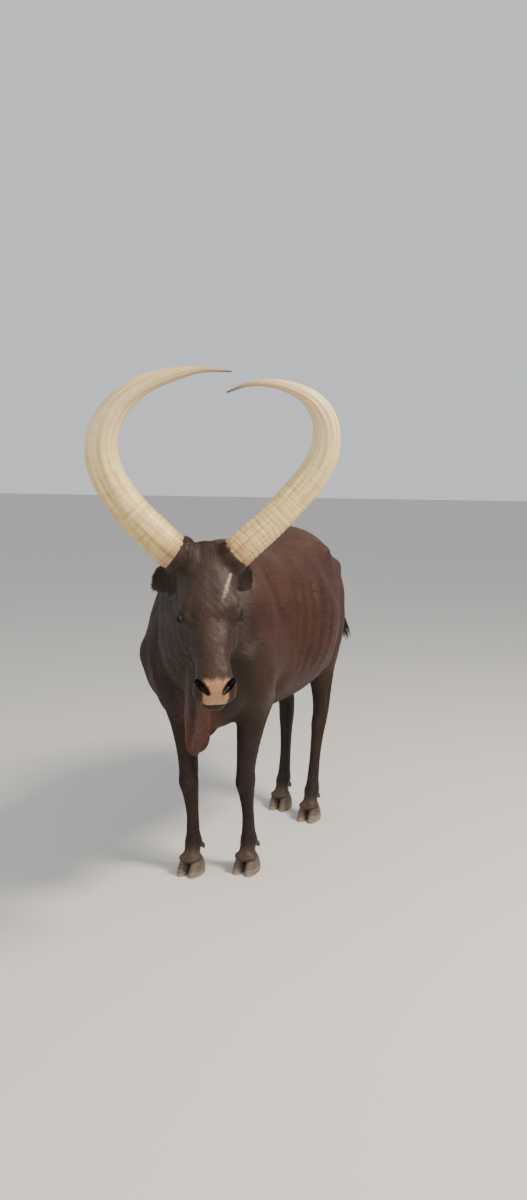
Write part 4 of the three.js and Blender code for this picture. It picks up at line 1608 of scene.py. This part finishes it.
@dataclass
class Horn:
    """One horn, thick at the base, swept out, up and in to its tip."""

    side: Side
    rings: int = 420
    sides: int = 72
    growth_rings: int = 30
    ring_gap: tuple[float, float] = (0.010, 0.026)
    ring_half: float = 0.0028
    ring_depth: float = 0.0020
    inset: float = 0.0006

    def loft(self) -> Loft:
        """Returns the smooth form of the horn."""
        sections = [
            (HEAD.by_poll(self.side.value * out, up, ahead), r, r, r)
            for out, up, ahead, r in HORN_SECTIONS[self.side]
        ]
        return Loft(sections, hint=HEAD.ahead, rings=self.rings, sides=self.sides)

    def ring_cut(self, along: Array, angle: Array) -> Array:
        """Finds how deep the growth rings cut, deepest near the base.

        Args:
            along: Way along the horn of each point, in metres.
            angle: Angle of each point round the horn.

        Returns:
            The depth at each point, in metres.
        """
        rng = np.random.default_rng(40 + self.side.value)
        places = np.cumsum(rng.uniform(*self.ring_gap, self.growth_rings)) + 0.02
        depth = np.zeros(len(along))
        for place in places:
            wobble = place + 0.003 * np.sin(angle * 2 + place * 90) + 0.0016 * np.sin(angle * 5 + place * 40)
            fade = 1 - smooth_step(np.array([place]), 0.10, 0.52)[0]
            deep = self.ring_depth * fade * rng.uniform(0.5, 1.1)
            depth += deep * np.exp(-(((along - wobble) / self.ring_half) ** 2))
        return depth

    def build(self) -> bpy.types.Object:
        """Returns the horn with its growth rings and flutes."""
        loft = self.loft()
        path = loft.rows()[0]
        points, faces = loft.mesh()
        steps = np.r_[0, np.cumsum(np.linalg.norm(np.diff(path, axis=0), axis=1))]
        along = np.r_[np.repeat(steps, self.sides), steps[0], steps[-1]]
        share = along / steps[-1]
        centre = np.vstack([np.repeat(path, self.sides, axis=0), path[:1], path[-1:]])
        out = points - centre
        reach = np.maximum(np.linalg.norm(out, axis=1), 1e-6)
        angle = np.r_[np.tile(np.arange(self.sides) / self.sides * 2 * math.pi, self.rings), 0, 0]
        flutes = 0.0008 * np.sin(angle * 7 + share * 9) + 0.0006 * np.sin(angle * 13 - share * 14)
        shift = -self.ring_cut(along, angle) - self.inset + flutes * smooth_step(share, 0.05, 0.3)
        shift = shift * np.minimum(reach / 0.03, 1.0)
        points = points + out / reach[:, None] * shift[:, None]
        horn = new_object(f"horn_{self.side.name.lower()}", points, faces)
        set_value(horn, "Along", share)
        around = np.stack([np.cos(angle) * 0.5, np.sin(angle) * 0.5, along], 1)
        layer = horn.data.attributes.new("Around", "FLOAT_VECTOR", "POINT")
        layer.data.foreach_set("vector", around.astype(np.float32).ravel())
        horn.data.materials.append(CreamHorn().material())
        shade_smooth(horn)
        return horn


@dataclass(frozen=True)
class TuftStyle:
    """Size and stance of the tufts of one part of the coat, in metres."""

    length: float
    width: float
    lift: float
    steps: int = 2
    stray: float = 0.25
    sink: float = 0.0010
    hang: float = 0.0
    curl: float = 0.0
    thick: float = 0.16
    lying: bool = False


TUFT_TAPER = (0.75, 1.0, 0.72, 0.45, 0.3, 0.2)
BAKE_PATCH = 0.003


def tuft_mesh(name: str, paths: Array, sides: Array, widths: Array, thick: Array, uv: Array, tones: Array,
              normals: Array | None = None) -> bpy.types.Object:
    """Makes many closed tapered tufts as one mesh.

    Args:
        name: Name of the piece.
        paths: Places along each tuft, from root to tip, shaped (tufts, steps + 1, 3).
        sides: The way across each tuft.
        widths: Width of each tuft at its root.
        thick: Thickness of each tuft at its root.
        uv: Place of each root on the unwrap of the skin.
        tones: Colour of each tuft.
        normals: The skin's normal at each root, which sleek tufts take for their shading.

    Returns:
        The linked mesh object, with its colours and its OFBake map.
    """
    count, rings = paths.shape[0], paths.shape[1] - 1
    along = paths[:, -1] - paths[:, 0]
    top = np.cross(sides, along)
    top /= np.maximum(np.linalg.norm(top, axis=1), 1e-9)[:, None]
    taper = TUFT_TAPER[:rings]
    ring_points = []
    for r in range(rings):
        half = (widths * taper[r] / 2)[:, None] * sides
        rise = (thick * taper[r])[:, None] * top
        here = paths[:, r]
        ring_points += [here - half - rise * 0.35, here + half - rise * 0.35, here + rise]
    points = np.stack(ring_points + [paths[:, -1]], axis=1)
    per = rings * 3 + 1
    faces = [(0, 2, 1)]
    for r in range(rings - 1):
        for k in range(3):
            a, b = r * 3 + k, r * 3 + (k + 1) % 3
            faces += [(a, b, b + 3), (a, b + 3, a + 3)]
    last = (rings - 1) * 3
    faces += [(last + k, last + (k + 1) % 3, per - 1) for k in range(3)]
    pattern = np.array(faces)
    one = (points[0] - points[0].mean(0))[pattern]
    if np.einsum("ij,ij->i", one[:, 0], np.cross(one[:, 1], one[:, 2])).sum() < 0:
        pattern = pattern[:, ::-1]
    corners = (pattern[None] + np.arange(count)[:, None, None] * per).reshape(-1, 3)
    mesh = bpy.data.meshes.new(name)
    mesh.vertices.add(count * per)
    mesh.vertices.foreach_set("co", points.astype(np.float32).ravel())
    mesh.loops.add(corners.size)
    mesh.loops.foreach_set("vertex_index", corners.astype(np.int32).ravel())
    mesh.polygons.add(len(corners))
    mesh.polygons.foreach_set("loop_start", np.arange(0, corners.size, 3, dtype=np.int32))
    mesh.update(calc_edges=True)
    spot = [(k / 2 * BAKE_PATCH, r / rings * BAKE_PATCH) for r in range(rings) for k in range(3)]
    spot = np.array(spot + [(BAKE_PATCH / 2, BAKE_PATCH)])
    spread = np.clip(uv[:, None, :], 0, 1 - BAKE_PATCH) + spot[None]
    layer = mesh.uv_layers.new(name="OFBake")
    layer.data.foreach_set("uv", spread.reshape(-1, 2)[corners.ravel()].astype(np.float32).ravel())
    made = bpy.data.objects.new(name, mesh)
    bpy.context.scene.collection.objects.link(made)
    fade = np.linspace(0.94, 1.05, rings)
    shade = np.r_[np.repeat(fade, 3), 1.08]
    paint(made, (tones[:, None, :] * shade[None, :, None]).reshape(-1, 3))
    shade_smooth(made)
    if normals is not None:
        made.data.normals_split_custom_set_from_vertices(np.repeat(normals, per, axis=0).astype(np.float32))
    return made


@dataclass
class Eye:
    """One eyeball behind its lids, and the lashes of both lids."""

    side: Side
    pupil: tuple[float, float] = (0.40, 0.20)
    lid_half: tuple[float, float] = (0.0190, 0.0122)
    lid_radius: float = 0.0252
    upper_lashes: tuple[int, float] = (34, 0.0135)
    lower_lashes: tuple[int, float] = (14, 0.006)
    lash_width: float = 0.0006

    def build(self) -> bpy.types.Object:
        """Returns the eyeball with the places of its iris and pupil."""
        out, along, across = eye_axes(self.side)
        centre = eye_centre(self.side)
        ball = egg(f"eyeball_{self.side.name.lower()}", centre, (EYE_RADIUS,) * 3, (along, across, out))
        apply_modifier(ball, "SUBSURF", levels=1, render_levels=1)
        d = points_of(ball) - centre
        d = d / np.linalg.norm(d, axis=1)[:, None]
        set_points(ball, centre + d * (EYE_RADIUS - 0.0003))
        in_front = d @ out > 0
        long, tall = self.pupil
        set_value(ball, "Gaze", np.where(in_front, np.hypot(d @ along, d @ across), 1.0))
        set_value(ball, "Pupil", np.where(in_front, np.hypot(d @ along / long, d @ across / tall), 9.0))
        ball.data.materials.append(WetEye().material())
        shade_smooth(ball)
        return ball

    def lashes(self) -> bpy.types.Object:
        """Returns the lashes of both lids as one joined piece."""
        rng = np.random.default_rng(80 + self.side.value)
        out, along, across = eye_axes(self.side)
        centre = eye_centre(self.side)
        upper = 1.0 if across @ HEAD.off > 0 else -1.0
        roots, tips, bends = [], [], []
        for sign, (count, length) in ((upper, self.upper_lashes), (-upper, self.lower_lashes)):
            for i in range(count):
                a = math.pi * (0.12 + 0.76 * (i + rng.uniform(-0.3, 0.3)) / count)
                flat = along * math.cos(a) * self.lid_half[0] + across * sign * math.sin(a) * self.lid_half[1]
                height = math.sqrt(max(self.lid_radius**2 - flat @ flat, 1e-6))
                root = centre + flat + out * height
                lean = along * (math.cos(a) * 0.5 + rng.uniform(-0.1, 0.1))
                way = unit(across * sign * 0.55 + out * 0.80 + lean)
                size = length * rng.uniform(0.8, 1.15)
                roots.append(root - out * 0.001)
                tips.append(root + way * size - UP * 0.0015)
                bends.append(root + way * size * 0.5 - across * sign * 0.0018)
        roots, tips, bends = np.array(roots), np.array(tips), np.array(bends)
        t = np.linspace(0, 1, 4)[None, :, None]
        paths = roots[:, None] * (1 - t) ** 2 + 2 * bends[:, None] * t * (1 - t) + tips[:, None] * t * t
        sides = np.cross(tips - roots, out)
        sides /= np.linalg.norm(sides, axis=1)[:, None]
        widths = np.full(len(roots), self.lash_width)
        uv = np.stack([np.linspace(0.1, 0.9, len(roots)), np.full(len(roots), 0.5)], 1)
        tones = np.tile(linear("black_hair_and_nostril_shade"), (len(roots), 1))
        made = tuft_mesh(f"lashes_{self.side.name.lower()}", paths, sides, widths, widths, uv, tones)
        made.data.materials.append(CoarseHair("lash hair").material())
        return made


@dataclass
class Claws:
    """The two claws and two dewclaws of one foot."""

    limb: Limb
    spacing: float = 0.025
    height: float = 0.068
    band_gap: float = 0.0085
    band_rise: float = 0.0005
    inset: float = 0.0003

    def build(self) -> dict[str, bpy.types.Object]:
        """Returns each claw by the name of the CAD node that it stands for."""
        made = {}
        for place, way in (("inner", -self.limb.side.value), ("outer", self.limb.side.value)):
            foot = f"{self.limb.name}_{place}"
            made[f"hoof_{foot}"] = self.finish(f"claw_{foot}", self.claw(way))
            made[f"dewclaw_{foot}"] = self.finish(f"dew_{foot}", self.dewclaw(way))
        return made

    def claw(self, way: int) -> Loft:
        """Returns the form of the claw on one side of the foot.

        Args:
            way: The side of the foot, 1 or -1.

        Returns:
            The form.
        """
        x, y = self.limb.hoof
        at = x + way * self.spacing
        return Loft([
            ((at, y, 0.0), 0.022, 0.062, 0.046),
            ((at, y + 0.002, 0.016), 0.0225, 0.057, 0.046),
            ((at - way * 0.001, y + 0.003, 0.044), 0.020, 0.044, 0.040),
            ((at - way * 0.003, y + 0.002, self.height), 0.016, 0.028, 0.028),
        ], hint=FORWARD, axis=UP, rings=34, sides=44, squareness=2.2)

    def dewclaw(self, way: int) -> Loft:
        """Returns the form of the dewclaw on one side of the foot.

        Args:
            way: The side of the foot, 1 or -1.

        Returns:
            The form.
        """
        x, y = self.limb.hoof
        return Loft([
            ((x + way * 0.015, y + 0.030, 0.112), 0.010, 0.010, 0.010),
            ((x + way * 0.019, y + 0.052, 0.098), 0.011, 0.010, 0.010),
            ((x + way * 0.020, y + 0.064, 0.084), 0.005, 0.005, 0.005),
        ], hint=FORWARD, rings=20, sides=20)

    def finish(self, name: str, loft: Loft) -> bpy.types.Object:
        """Returns one claw with its growth bands.

        Args:
            name: Name of the piece.
            loft: Its form.

        Returns:
            The mesh object.
        """
        points, faces = loft.mesh()
        bands = self.band_rise * np.sin(points[:, 2] * 2 * math.pi / self.band_gap)
        bands = bands * smooth_step(points[:, 2], 0.004, 0.012)
        out = (points - points.mean(axis=0)) * np.array([1.0, 1.0, 0.0])
        out /= np.maximum(np.linalg.norm(out, axis=1), 1e-6)[:, None]
        points = points + out * (bands[:, None] - self.inset)
        claw = new_object(name, points, faces)
        claw.data.materials.append(HoofHorn().material())
        shade_smooth(claw)
        return claw


def upright_share(points: Array) -> Array:
    """Returns 1 where the hair runs up and down, and 0 where it runs along the barrel.

    Args:
        points: Places in the animal's axes, one row each.

    Returns:
        A share from 0 to 1 for each point.
    """
    tail = smooth_step(points[:, 1], 1.26, 1.32)
    neck = smooth_step(-points[:, 1], -0.05, 0.10)
    return np.max([leg_share(points), head_share(points), tail, neck], axis=0)


def tuft_scale(points: Array) -> Array:
    """Returns how large the tufts are at each point, least at the muzzle, the eyes and the feet.

    Args:
        points: Places in the animal's axes, one row each.

    Returns:
        A factor for each point.
    """
    local = HEAD.local(points)
    muzzle = smooth_step(local[:, 1], 0.30, 0.44) * head_share(points)
    near_eye = np.min([np.linalg.norm(points - eye_centre(side), axis=1) for side in Side], axis=0)
    eyes = smooth_step(-near_eye, -0.060, -0.030)
    feet = smooth_step(-points[:, 2], -0.22, -0.09)
    return 1 - 0.5 * np.max([muzzle, eyes, feet], axis=0)


def bare_share(points: Array) -> Array:
    """Returns 1 on bare skin: the nose pad, the lips, the lid rims and the teats.

    Args:
        points: Places in the animal's axes, one row each.

    Returns:
        A share from 0 to 1 for each point.
    """
    across, down, off = HEAD.local(points).T
    pad = nose_pad(across * 0.86, down, off)
    lips = bump(off, -0.100 - np.abs(across) * 0.08, 0.006) * smooth_step(down, 0.38, 0.42)
    total = np.maximum(pad, lips) * head_share(points)
    total = np.maximum(total, nostril_share(across, down, off, 0.0035))
    for side in Side:
        out, along, lid_across = eye_axes(side)
        e = points - eye_centre(side)
        ring = np.hypot(e @ along / 1.5, e @ lid_across)
        total = np.maximum(total, smooth_step(-ring, -0.0165, -0.0145) * smooth_step(e @ out, 0.0, 0.01))
    teats = smooth_step(-points[:, 2], -0.655, -0.645)
    teats = teats * smooth_step(-np.abs(points[:, 1] - 0.885), -0.075, -0.06)
    teats = teats * smooth_step(-np.abs(np.abs(points[:, 0]) - 0.04), -0.02, -0.016)
    return np.clip(np.maximum(total, teats), 0, 1)


@dataclass
class Switch:
    """Hair at the end of the tail, in tapered locks that hang and overlap."""

    locks: int = 260
    steps: int = 6
    seed: int = 61
    reach: float = 0.235

    def build(self) -> bpy.types.Object:
        """Returns the switch as one joined piece."""
        rng = np.random.default_rng(self.seed)
        root = np.array(TAIL[-1][0])
        along = np.array([0.0, 0.66, -0.72])
        wide, deep = np.array([1.0, 0.0, 0.0]), unit((0.0, 0.72, 0.66))
        angle = rng.uniform(0, 2 * math.pi, self.locks)
        depth = np.sqrt(rng.uniform(0.05, 1, self.locks))
        out = wide * np.cos(angle)[:, None] + deep * np.sin(angle)[:, None]
        start = rng.uniform(-0.045, 0.06, self.locks)
        length = rng.uniform(0.10, 0.215, self.locks)
        length = np.minimum(length, self.reach - start)
        phase = rng.uniform(0, 6.28, self.locks)
        path = []
        for step in range(self.steps + 1):
            t = step / self.steps
            fan = 0.010 + 0.016 * math.sin(min(t * 1.7, 1.6)) - 0.012 * max(t - 0.6, 0)
            sway = wide * (0.004 * np.sin(phase + t * 4))[:, None] * t
            place = root + along * (start + length * t)[:, None] + out * (fan * depth)[:, None] + sway
            path.append(place)
        paths = np.stack(path, 1)
        sides = np.cross(np.tile(unit(along), (self.locks, 1)), out)
        widths = rng.uniform(0.005, 0.010, self.locks)
        uv = np.stack([0.5 + 0.4 * np.cos(angle) * depth, 0.5 + 0.4 * np.sin(angle) * depth], 1)
        tones = np.tile(linear("black_hair_and_nostril_shade"), (self.locks, 1)) * rng.uniform(0.7, 1.5, (self.locks, 1))
        locks = tuft_mesh("tail_switch_locks", paths, sides, widths, widths * 0.35, uv, tones)
        locks.data.materials.append(CoarseHair("switch hair").material())
        return locks


@dataclass(frozen=True)
class Growth:
    """One part of the coat: where it grows, how many tufts, and their style."""

    name: str
    count: int
    style: TuftStyle
    where: Callable[[Array, Array], Array]
    slot: Slot = Slot.BODY


def trunk_growth(p: Array, _: Array) -> Array:
    """Weight of the short flat coat of the trunk and neck."""
    return (1 - head_share(p)) * smooth_step(p[:, 2], 0.45, 0.62)


def leg_growth(p: Array, _: Array) -> Array:
    """Weight of the coat of the legs down to the coronets."""
    return smooth_step(-p[:, 2], -0.64, -0.52) * smooth_step(p[:, 2], 0.062, 0.072)


def face_growth(p: Array, _: Array) -> Array:
    """Weight of the short coat of the face and the backs of the ears."""
    return head_share(p)


def edge_growth(p: Array, n: Array) -> Array:
    """Weight of the longer hair along the dewlap, breast and belly.

    Args:
        p: Middles of the skin's triangles.
        n: Their normals.

    Returns:
        A weight for each triangle.
    """
    under = smooth_step(-n[:, 2], 0.25, 0.8) * smooth_step(p[:, 2], 0.45, 0.50)
    under = under * smooth_step(-p[:, 2], -0.80, -0.66)
    throat = smooth_step(-p[:, 1], -0.05, 0.05) * smooth_step(-p[:, 2], -1.05, -0.95)
    throat = throat * smooth_step(-n[:, 2], 0.1, 0.5)
    return (under * 0.8 + throat * 0.5) * (1 - head_share(p))


def poll_growth(p: Array, _: Array) -> Array:
    """Weight of the longer hair over the poll between the horns."""
    across, down, off = HEAD.local(p).T
    return bump(down, -0.005, 0.045) * bump(across, 0, 0.06) * smooth_step(off, -0.12, -0.06) * head_share(p)


def ear_growth(p: Array, n: Array) -> Array:
    """Weight of the fringe inside and round the rim of both ears.

    Args:
        p: Middles of the skin's triangles.
        n: Their normals.

    Returns:
        A weight for each triangle.
    """
    total = np.zeros(len(p))
    for side in Side:
        root, along, opening = ear_axes(side)
        d = p - root
        at = d @ along
        away = np.linalg.norm(d - at[:, None] * along, axis=1)
        on_ear = smooth_step(at, 0.0, 0.02) * (at < 0.2) * (away < 0.055)
        total += on_ear * smooth_step(n @ opening, -0.2, 0.3)
    return total


def fetlock_growth(p: Array, n: Array) -> Array:
    """Weight of the tufts behind the fetlocks and round the coronets."""
    back = bump(p[:, 2], 0.110, 0.030) * smooth_step(n[:, 1], -0.1, 0.5)
    return back + 0.7 * bump(p[:, 2], 0.072, 0.010)


def chin_growth(p: Array, _: Array) -> Array:
    """Weight of the sparse longer hair on the chin and lips."""
    _, down, off = HEAD.local(p).T
    return smooth_step(down, 0.38, 0.44) * smooth_step(-off, 0.085, 0.10) * smooth_step(down, 0.30, 0.40)


def crest_growth(p: Array, n: Array) -> Array:
    """Weight of the hair that stands a little along the crest, spine and tail."""
    top = smooth_step(n[:, 2], 0.80, 0.97) * smooth_step(p[:, 2], 1.10, 1.22) * (1 - head_share(p))
    return top + 1.5 * smooth_step(p[:, 1], 1.27, 1.33)


GROWTHS = (
    Growth("coat_trunk_a", 19_500, TuftStyle(0.026, 0.0062, 0.0009, stray=0.07, lying=True), trunk_growth),
    Growth("coat_trunk_b", 19_500, TuftStyle(0.023, 0.0055, 0.0010, stray=0.07, lying=True), trunk_growth),
    Growth("coat_trunk_c", 19_500, TuftStyle(0.020, 0.0048, 0.0012, stray=0.09, lying=True), trunk_growth),
    Growth("coat_legs_a", 19_500, TuftStyle(0.016, 0.0038, 0.0008, stray=0.07, lying=True), leg_growth),
    Growth("coat_face", 19_500, TuftStyle(0.0100, 0.0022, 0.0005, stray=0.08, sink=0.0006, lying=True),
           face_growth, Slot.FACE),
    Growth("coat_edge", 9_000, TuftStyle(0.011, 0.0022, 0.0012, 3, stray=0.10, hang=0.001, curl=0.0005),
           edge_growth),
    Growth("coat_poll", 4_200, TuftStyle(0.017, 0.0017, 0.0030, 3, stray=0.22, curl=0.0015),
           poll_growth, Slot.FACE),
    Growth("coat_ears", 5_200, TuftStyle(0.015, 0.0011, 0.0040, 3, stray=0.30, curl=0.0015),
           ear_growth, Slot.FACE),
    Growth("coat_fetlocks", 4_200, TuftStyle(0.012, 0.0017, 0.0020, 3, stray=0.16, hang=0.002),
           fetlock_growth),
    Growth("coat_chin", 500, TuftStyle(0.011, 0.0007, 0.0040, 3, stray=0.25, hang=0.003),
           chin_growth, Slot.FACE),
    Growth("coat_crest", 5_000, TuftStyle(0.015, 0.0024, 0.0022, 3, stray=0.12), crest_growth),
)


class Coat:
    """Grows tufts on the finished skin."""

    def __init__(self, skin: bpy.types.Object) -> None:
        """Unwraps the skin and reads its triangles.

        Args:
            skin: The finished skin.
        """
        select_only(skin)
        bpy.ops.object.mode_set(mode="EDIT")
        bpy.ops.mesh.select_all(action="SELECT")
        bpy.ops.uv.smart_project(angle_limit=math.radians(66), island_margin=0.0)
        bpy.ops.object.mode_set(mode="OBJECT")
        mesh = skin.data
        mesh.calc_loop_triangles()
        count = len(mesh.loop_triangles)
        corners, loops = np.empty(count * 3, np.int32), np.empty(count * 3, np.int32)
        mesh.loop_triangles.foreach_get("vertices", corners)
        mesh.loop_triangles.foreach_get("loops", loops)
        uv = np.empty(len(mesh.loops) * 2, np.float32)
        mesh.uv_layers.active.data.foreach_get("uv", uv)
        self.corners = points_of(skin)[corners.reshape(-1, 3)]
        self.normals = normals_of(skin)[corners.reshape(-1, 3)]
        self.uv = uv.reshape(-1, 2)[loops.reshape(-1, 3)]
        crossed = np.cross(self.corners[:, 1] - self.corners[:, 0], self.corners[:, 2] - self.corners[:, 0])
        self.areas = np.linalg.norm(crossed, axis=1) / 2
        self.middles = self.corners.mean(axis=1)
        self.bare = bare_share(self.middles)
        self.surface = BVHTree.FromPolygons(points_of(skin).tolist(), corners.reshape(-1, 3).tolist())

    def on_skin(self, points: Array) -> Array:
        """Returns the nearest points of the skin."""
        return np.array([self.surface.find_nearest(point)[0] for point in points.tolist()])

    def grow(self, growth: Growth, seed: int, material: bpy.types.Material) -> bpy.types.Object:
        """Makes one coat piece.

        Args:
            growth: Its name, where it grows, and how many tufts of which style.
            seed: Seed of the chance.
            material: The finish that it shares with the skin.

        Returns:
            The tufts as one joined mesh.
        """
        rng = np.random.default_rng(seed)
        style, count = growth.style, growth.count
        weight = self.areas * growth.where(self.middles, self.normals.mean(axis=1)) * (1 - self.bare)
        chosen = rng.choice(len(weight), count, p=weight / weight.sum())
        split = rng.dirichlet((1, 1, 1), count)[:, :, None]
        root = (self.corners[chosen] * split).sum(1)
        normal = (self.normals[chosen] * split).sum(1)
        normal /= np.linalg.norm(normal, axis=1)[:, None]
        uv = (self.uv[chosen] * split).sum(1)
        lie = coat_lie(root)
        lie = lie / np.linalg.norm(lie, axis=1)[:, None] + rng.normal(0, style.stray, (count, 3))
        lie -= normal * np.einsum("ij,ij->i", lie, normal)[:, None]
        lie /= np.maximum(np.linalg.norm(lie, axis=1), 1e-6)[:, None]
        sides = np.cross(lie, normal)
        length = style.length * rng.uniform(0.7, 1.25, count) * tuft_scale(root)
        path = []
        for step in range(style.steps + 1):
            t = step / style.steps
            reach = lie * (length * t)[:, None]
            rise = normal * (style.lift * math.sin(t * 2.0) - style.sink * (1 - t))
            fall = UP * (-style.hang * t * t)
            sway = sides * (style.curl * np.sin(t * 3.0 + rng.uniform(0, 6.28)) * t)
            if style.lying:
                path.append(self.on_skin(root + reach + sway) + rise)
            else:
                path.append(root + reach + rise + fall + sway)
        paths = np.stack(path, 1)
        tones = coat_tone(root) * rng.uniform(0.90, 1.10, (count, 1))
        widths = style.width * rng.uniform(0.7, 1.2, count) * tuft_scale(root)
        tipped = normal + lie * 0.10 + rng.normal(0, 0.05, (count, 3))
        tipped /= np.linalg.norm(tipped, axis=1)[:, None]
        made = tuft_mesh(growth.name, paths, sides, widths, widths * style.thick, uv, tones, tipped)
        set_value(made, "Upright", np.repeat(upright_share(root), len(made.data.vertices) // count))
        made.data.materials.append(material)
        return made


@dataclass(frozen=True)
class View:
    """The photograph's camera, in the animal's own axes."""

    place: tuple[float, float, float] = (1.82, -3.33, 1.57)
    turn: float = math.radians(25)
    dip: float = math.radians(7.45)
    lens: float = 31.5
    sensor: float = 36.0

    def build(self, offset: Array) -> None:
        """Puts the camera in the scene.

        Args:
            offset: Shift from the animal's axes to the frame.
        """
        data = bpy.data.cameras.new("camera")
        data.sensor_fit = "VERTICAL"
        data.sensor_height = self.sensor
        data.lens = self.lens
        camera = bpy.data.objects.new("camera", data)
        camera.location = Vector(np.array(self.place) + offset)
        camera.rotation_euler = (math.pi / 2 - self.dip, 0.0, self.turn)
        bpy.context.scene.collection.objects.link(camera)
        bpy.context.scene.camera = camera


@dataclass(frozen=True)
class Studio:
    """A pale plain floor under soft light."""

    floor_half: float = 40.0
    floor: str = "c9c6c0"
    sky: str = "dfe3e8"
    sky_strength: float = 0.95
    lamps: tuple[tuple[str, tuple[float, float, float], float, float, str], ...] = (
        ("key", (3.4, -0.4, 4.6), 1.3, 480, "fff1de"),
        ("fill", (-3.4, -3.0, 2.6), 3.0, 42, "f2f2f4"),
        ("front", (1.6, -4.6, 2.4), 2.4, 70, "fff8ee"),
    )

    def build(self) -> None:
        """Makes the floor, the lights and the backdrop."""
        bpy.ops.object.select_all(action="DESELECT")
        bpy.ops.mesh.primitive_plane_add(size=self.floor_half * 2, location=(0, 0, 0))
        floor = bpy.context.view_layer.objects.active
        floor.name = "floor"
        paint_finish = Finish("matt floor paint", Roughness=0.9, Base_Color=(*linear(self.floor), 1))
        floor.data.materials.append(paint_finish.material)
        world = bpy.context.scene.world or bpy.data.worlds.new("sky")
        bpy.context.scene.world = world
        world.use_nodes = True
        back = world.node_tree.nodes["Background"]
        back.inputs["Color"].default_value = (*linear(self.sky), 1)
        back.inputs["Strength"].default_value = self.sky_strength
        for lamp in self.lamps:
            self.light(*lamp)

    def light(
        self, name: str, place: tuple[float, float, float], size: float, watts: float, colour: str
    ) -> None:
        """Adds one square area light that faces the cow.

        Args:
            name: Name of the lamp.
            place: Where the lamp hangs.
            size: Width of the lamp, in metres.
            watts: Its power.
            colour: Its hex colour.
        """
        data = bpy.data.lights.new(name, "AREA")
        data.size = size
        data.energy = watts
        data.color = tuple(linear(colour))
        lamp = bpy.data.objects.new(name, data)
        lamp.location = place
        aim = Vector((0, 0, 0.9)) - Vector(place)
        lamp.rotation_euler = aim.to_track_quat("-Z", "Y").to_euler()
        bpy.context.scene.collection.objects.link(lamp)


FLESH_NODES = (
    "head", "neck", "torso", "dewlap", "udder", "tail", "ear_left", "ear_right",
    "foreleg_left", "foreleg_right", "hindleg_left", "hindleg_right",
)


@dataclass
class Cow:
    """The whole cow: its skin, coat, horns, eyes and claws."""

    offset: Array
    pieces: list[bpy.types.Object] = field(default_factory=list)

    def add(self, piece: bpy.types.Object, slot: Slot, *nodes: str) -> None:
        """Places a piece in the frame, hides the CAD nodes that it replaces, and logs it.

        Args:
            piece: The piece, in the animal's own axes.
            slot: The material slot, which is only logged.
            nodes: The CAD nodes that it replaces.
        """
        set_points(piece, points_of(piece) + self.offset)
        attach(piece, "root")
        if nodes:
            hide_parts(*nodes)
        self.pieces.append(piece)
        LOG.info("%s: %d faces, %s", piece.name, len(piece.data.polygons), slot.value)

    def skin(self) -> bpy.types.Object:
        """Returns the finished and painted skin."""
        skin = SkinMaker().build()
        points = points_of(skin)
        paint(skin, coat_tone(points))
        set_value(skin, "Upright", upright_share(points))
        inside = nostril_share(*HEAD.local(points).T, 0.0012)
        set_value(skin, "Bare", bare_share(points) * (1 - inside))
        skin.data.materials.clear()
        skin.data.materials.append(SleekCoat().material())
        skin.data.polygons.foreach_set("material_index", [0] * len(skin.data.polygons))
        shade_smooth(skin)
        return skin

    def build(self) -> None:
        """Builds every piece of the cow."""
        skin = self.skin()
        coat = Coat(skin)
        self.add(skin, Slot.BODY, *FLESH_NODES)
        self.add(Switch().build(), Slot.SWITCH, "tail_switch")
        for number, growth in enumerate(GROWTHS):
            self.add(coat.grow(growth, 100 + number, skin.data.materials[0]), growth.slot)
        for side in Side:
            name = side.name.lower()
            lengths = (f"horn_{name}_{part}" for part in ("base", "middle", "tip"))
            self.add(Horn(side).build(), Slot.HORN, *lengths)
            self.add(Eye(side).build(), Slot.EYE, f"eye_{name}")
            self.add(Eye(side).lashes(), Slot.FACE)
        for limb in LIMBS:
            for node, claw in Claws(limb).build().items():
                self.add(claw, Slot.HOOF, node)


def main() -> None:
    """Loads the frame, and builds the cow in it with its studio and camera."""
    logging.basicConfig(level=logging.INFO, format="%(message)s")
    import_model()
    low, high = (np.array(corner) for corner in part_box("eye_left"))
    offset = (low + high) / 2 - eye_centre(Side.LEFT)
    cow = Cow(offset)
    cow.build()
    Studio().build()
    View().build(offset)


if __name__ == "__main__":
    main()
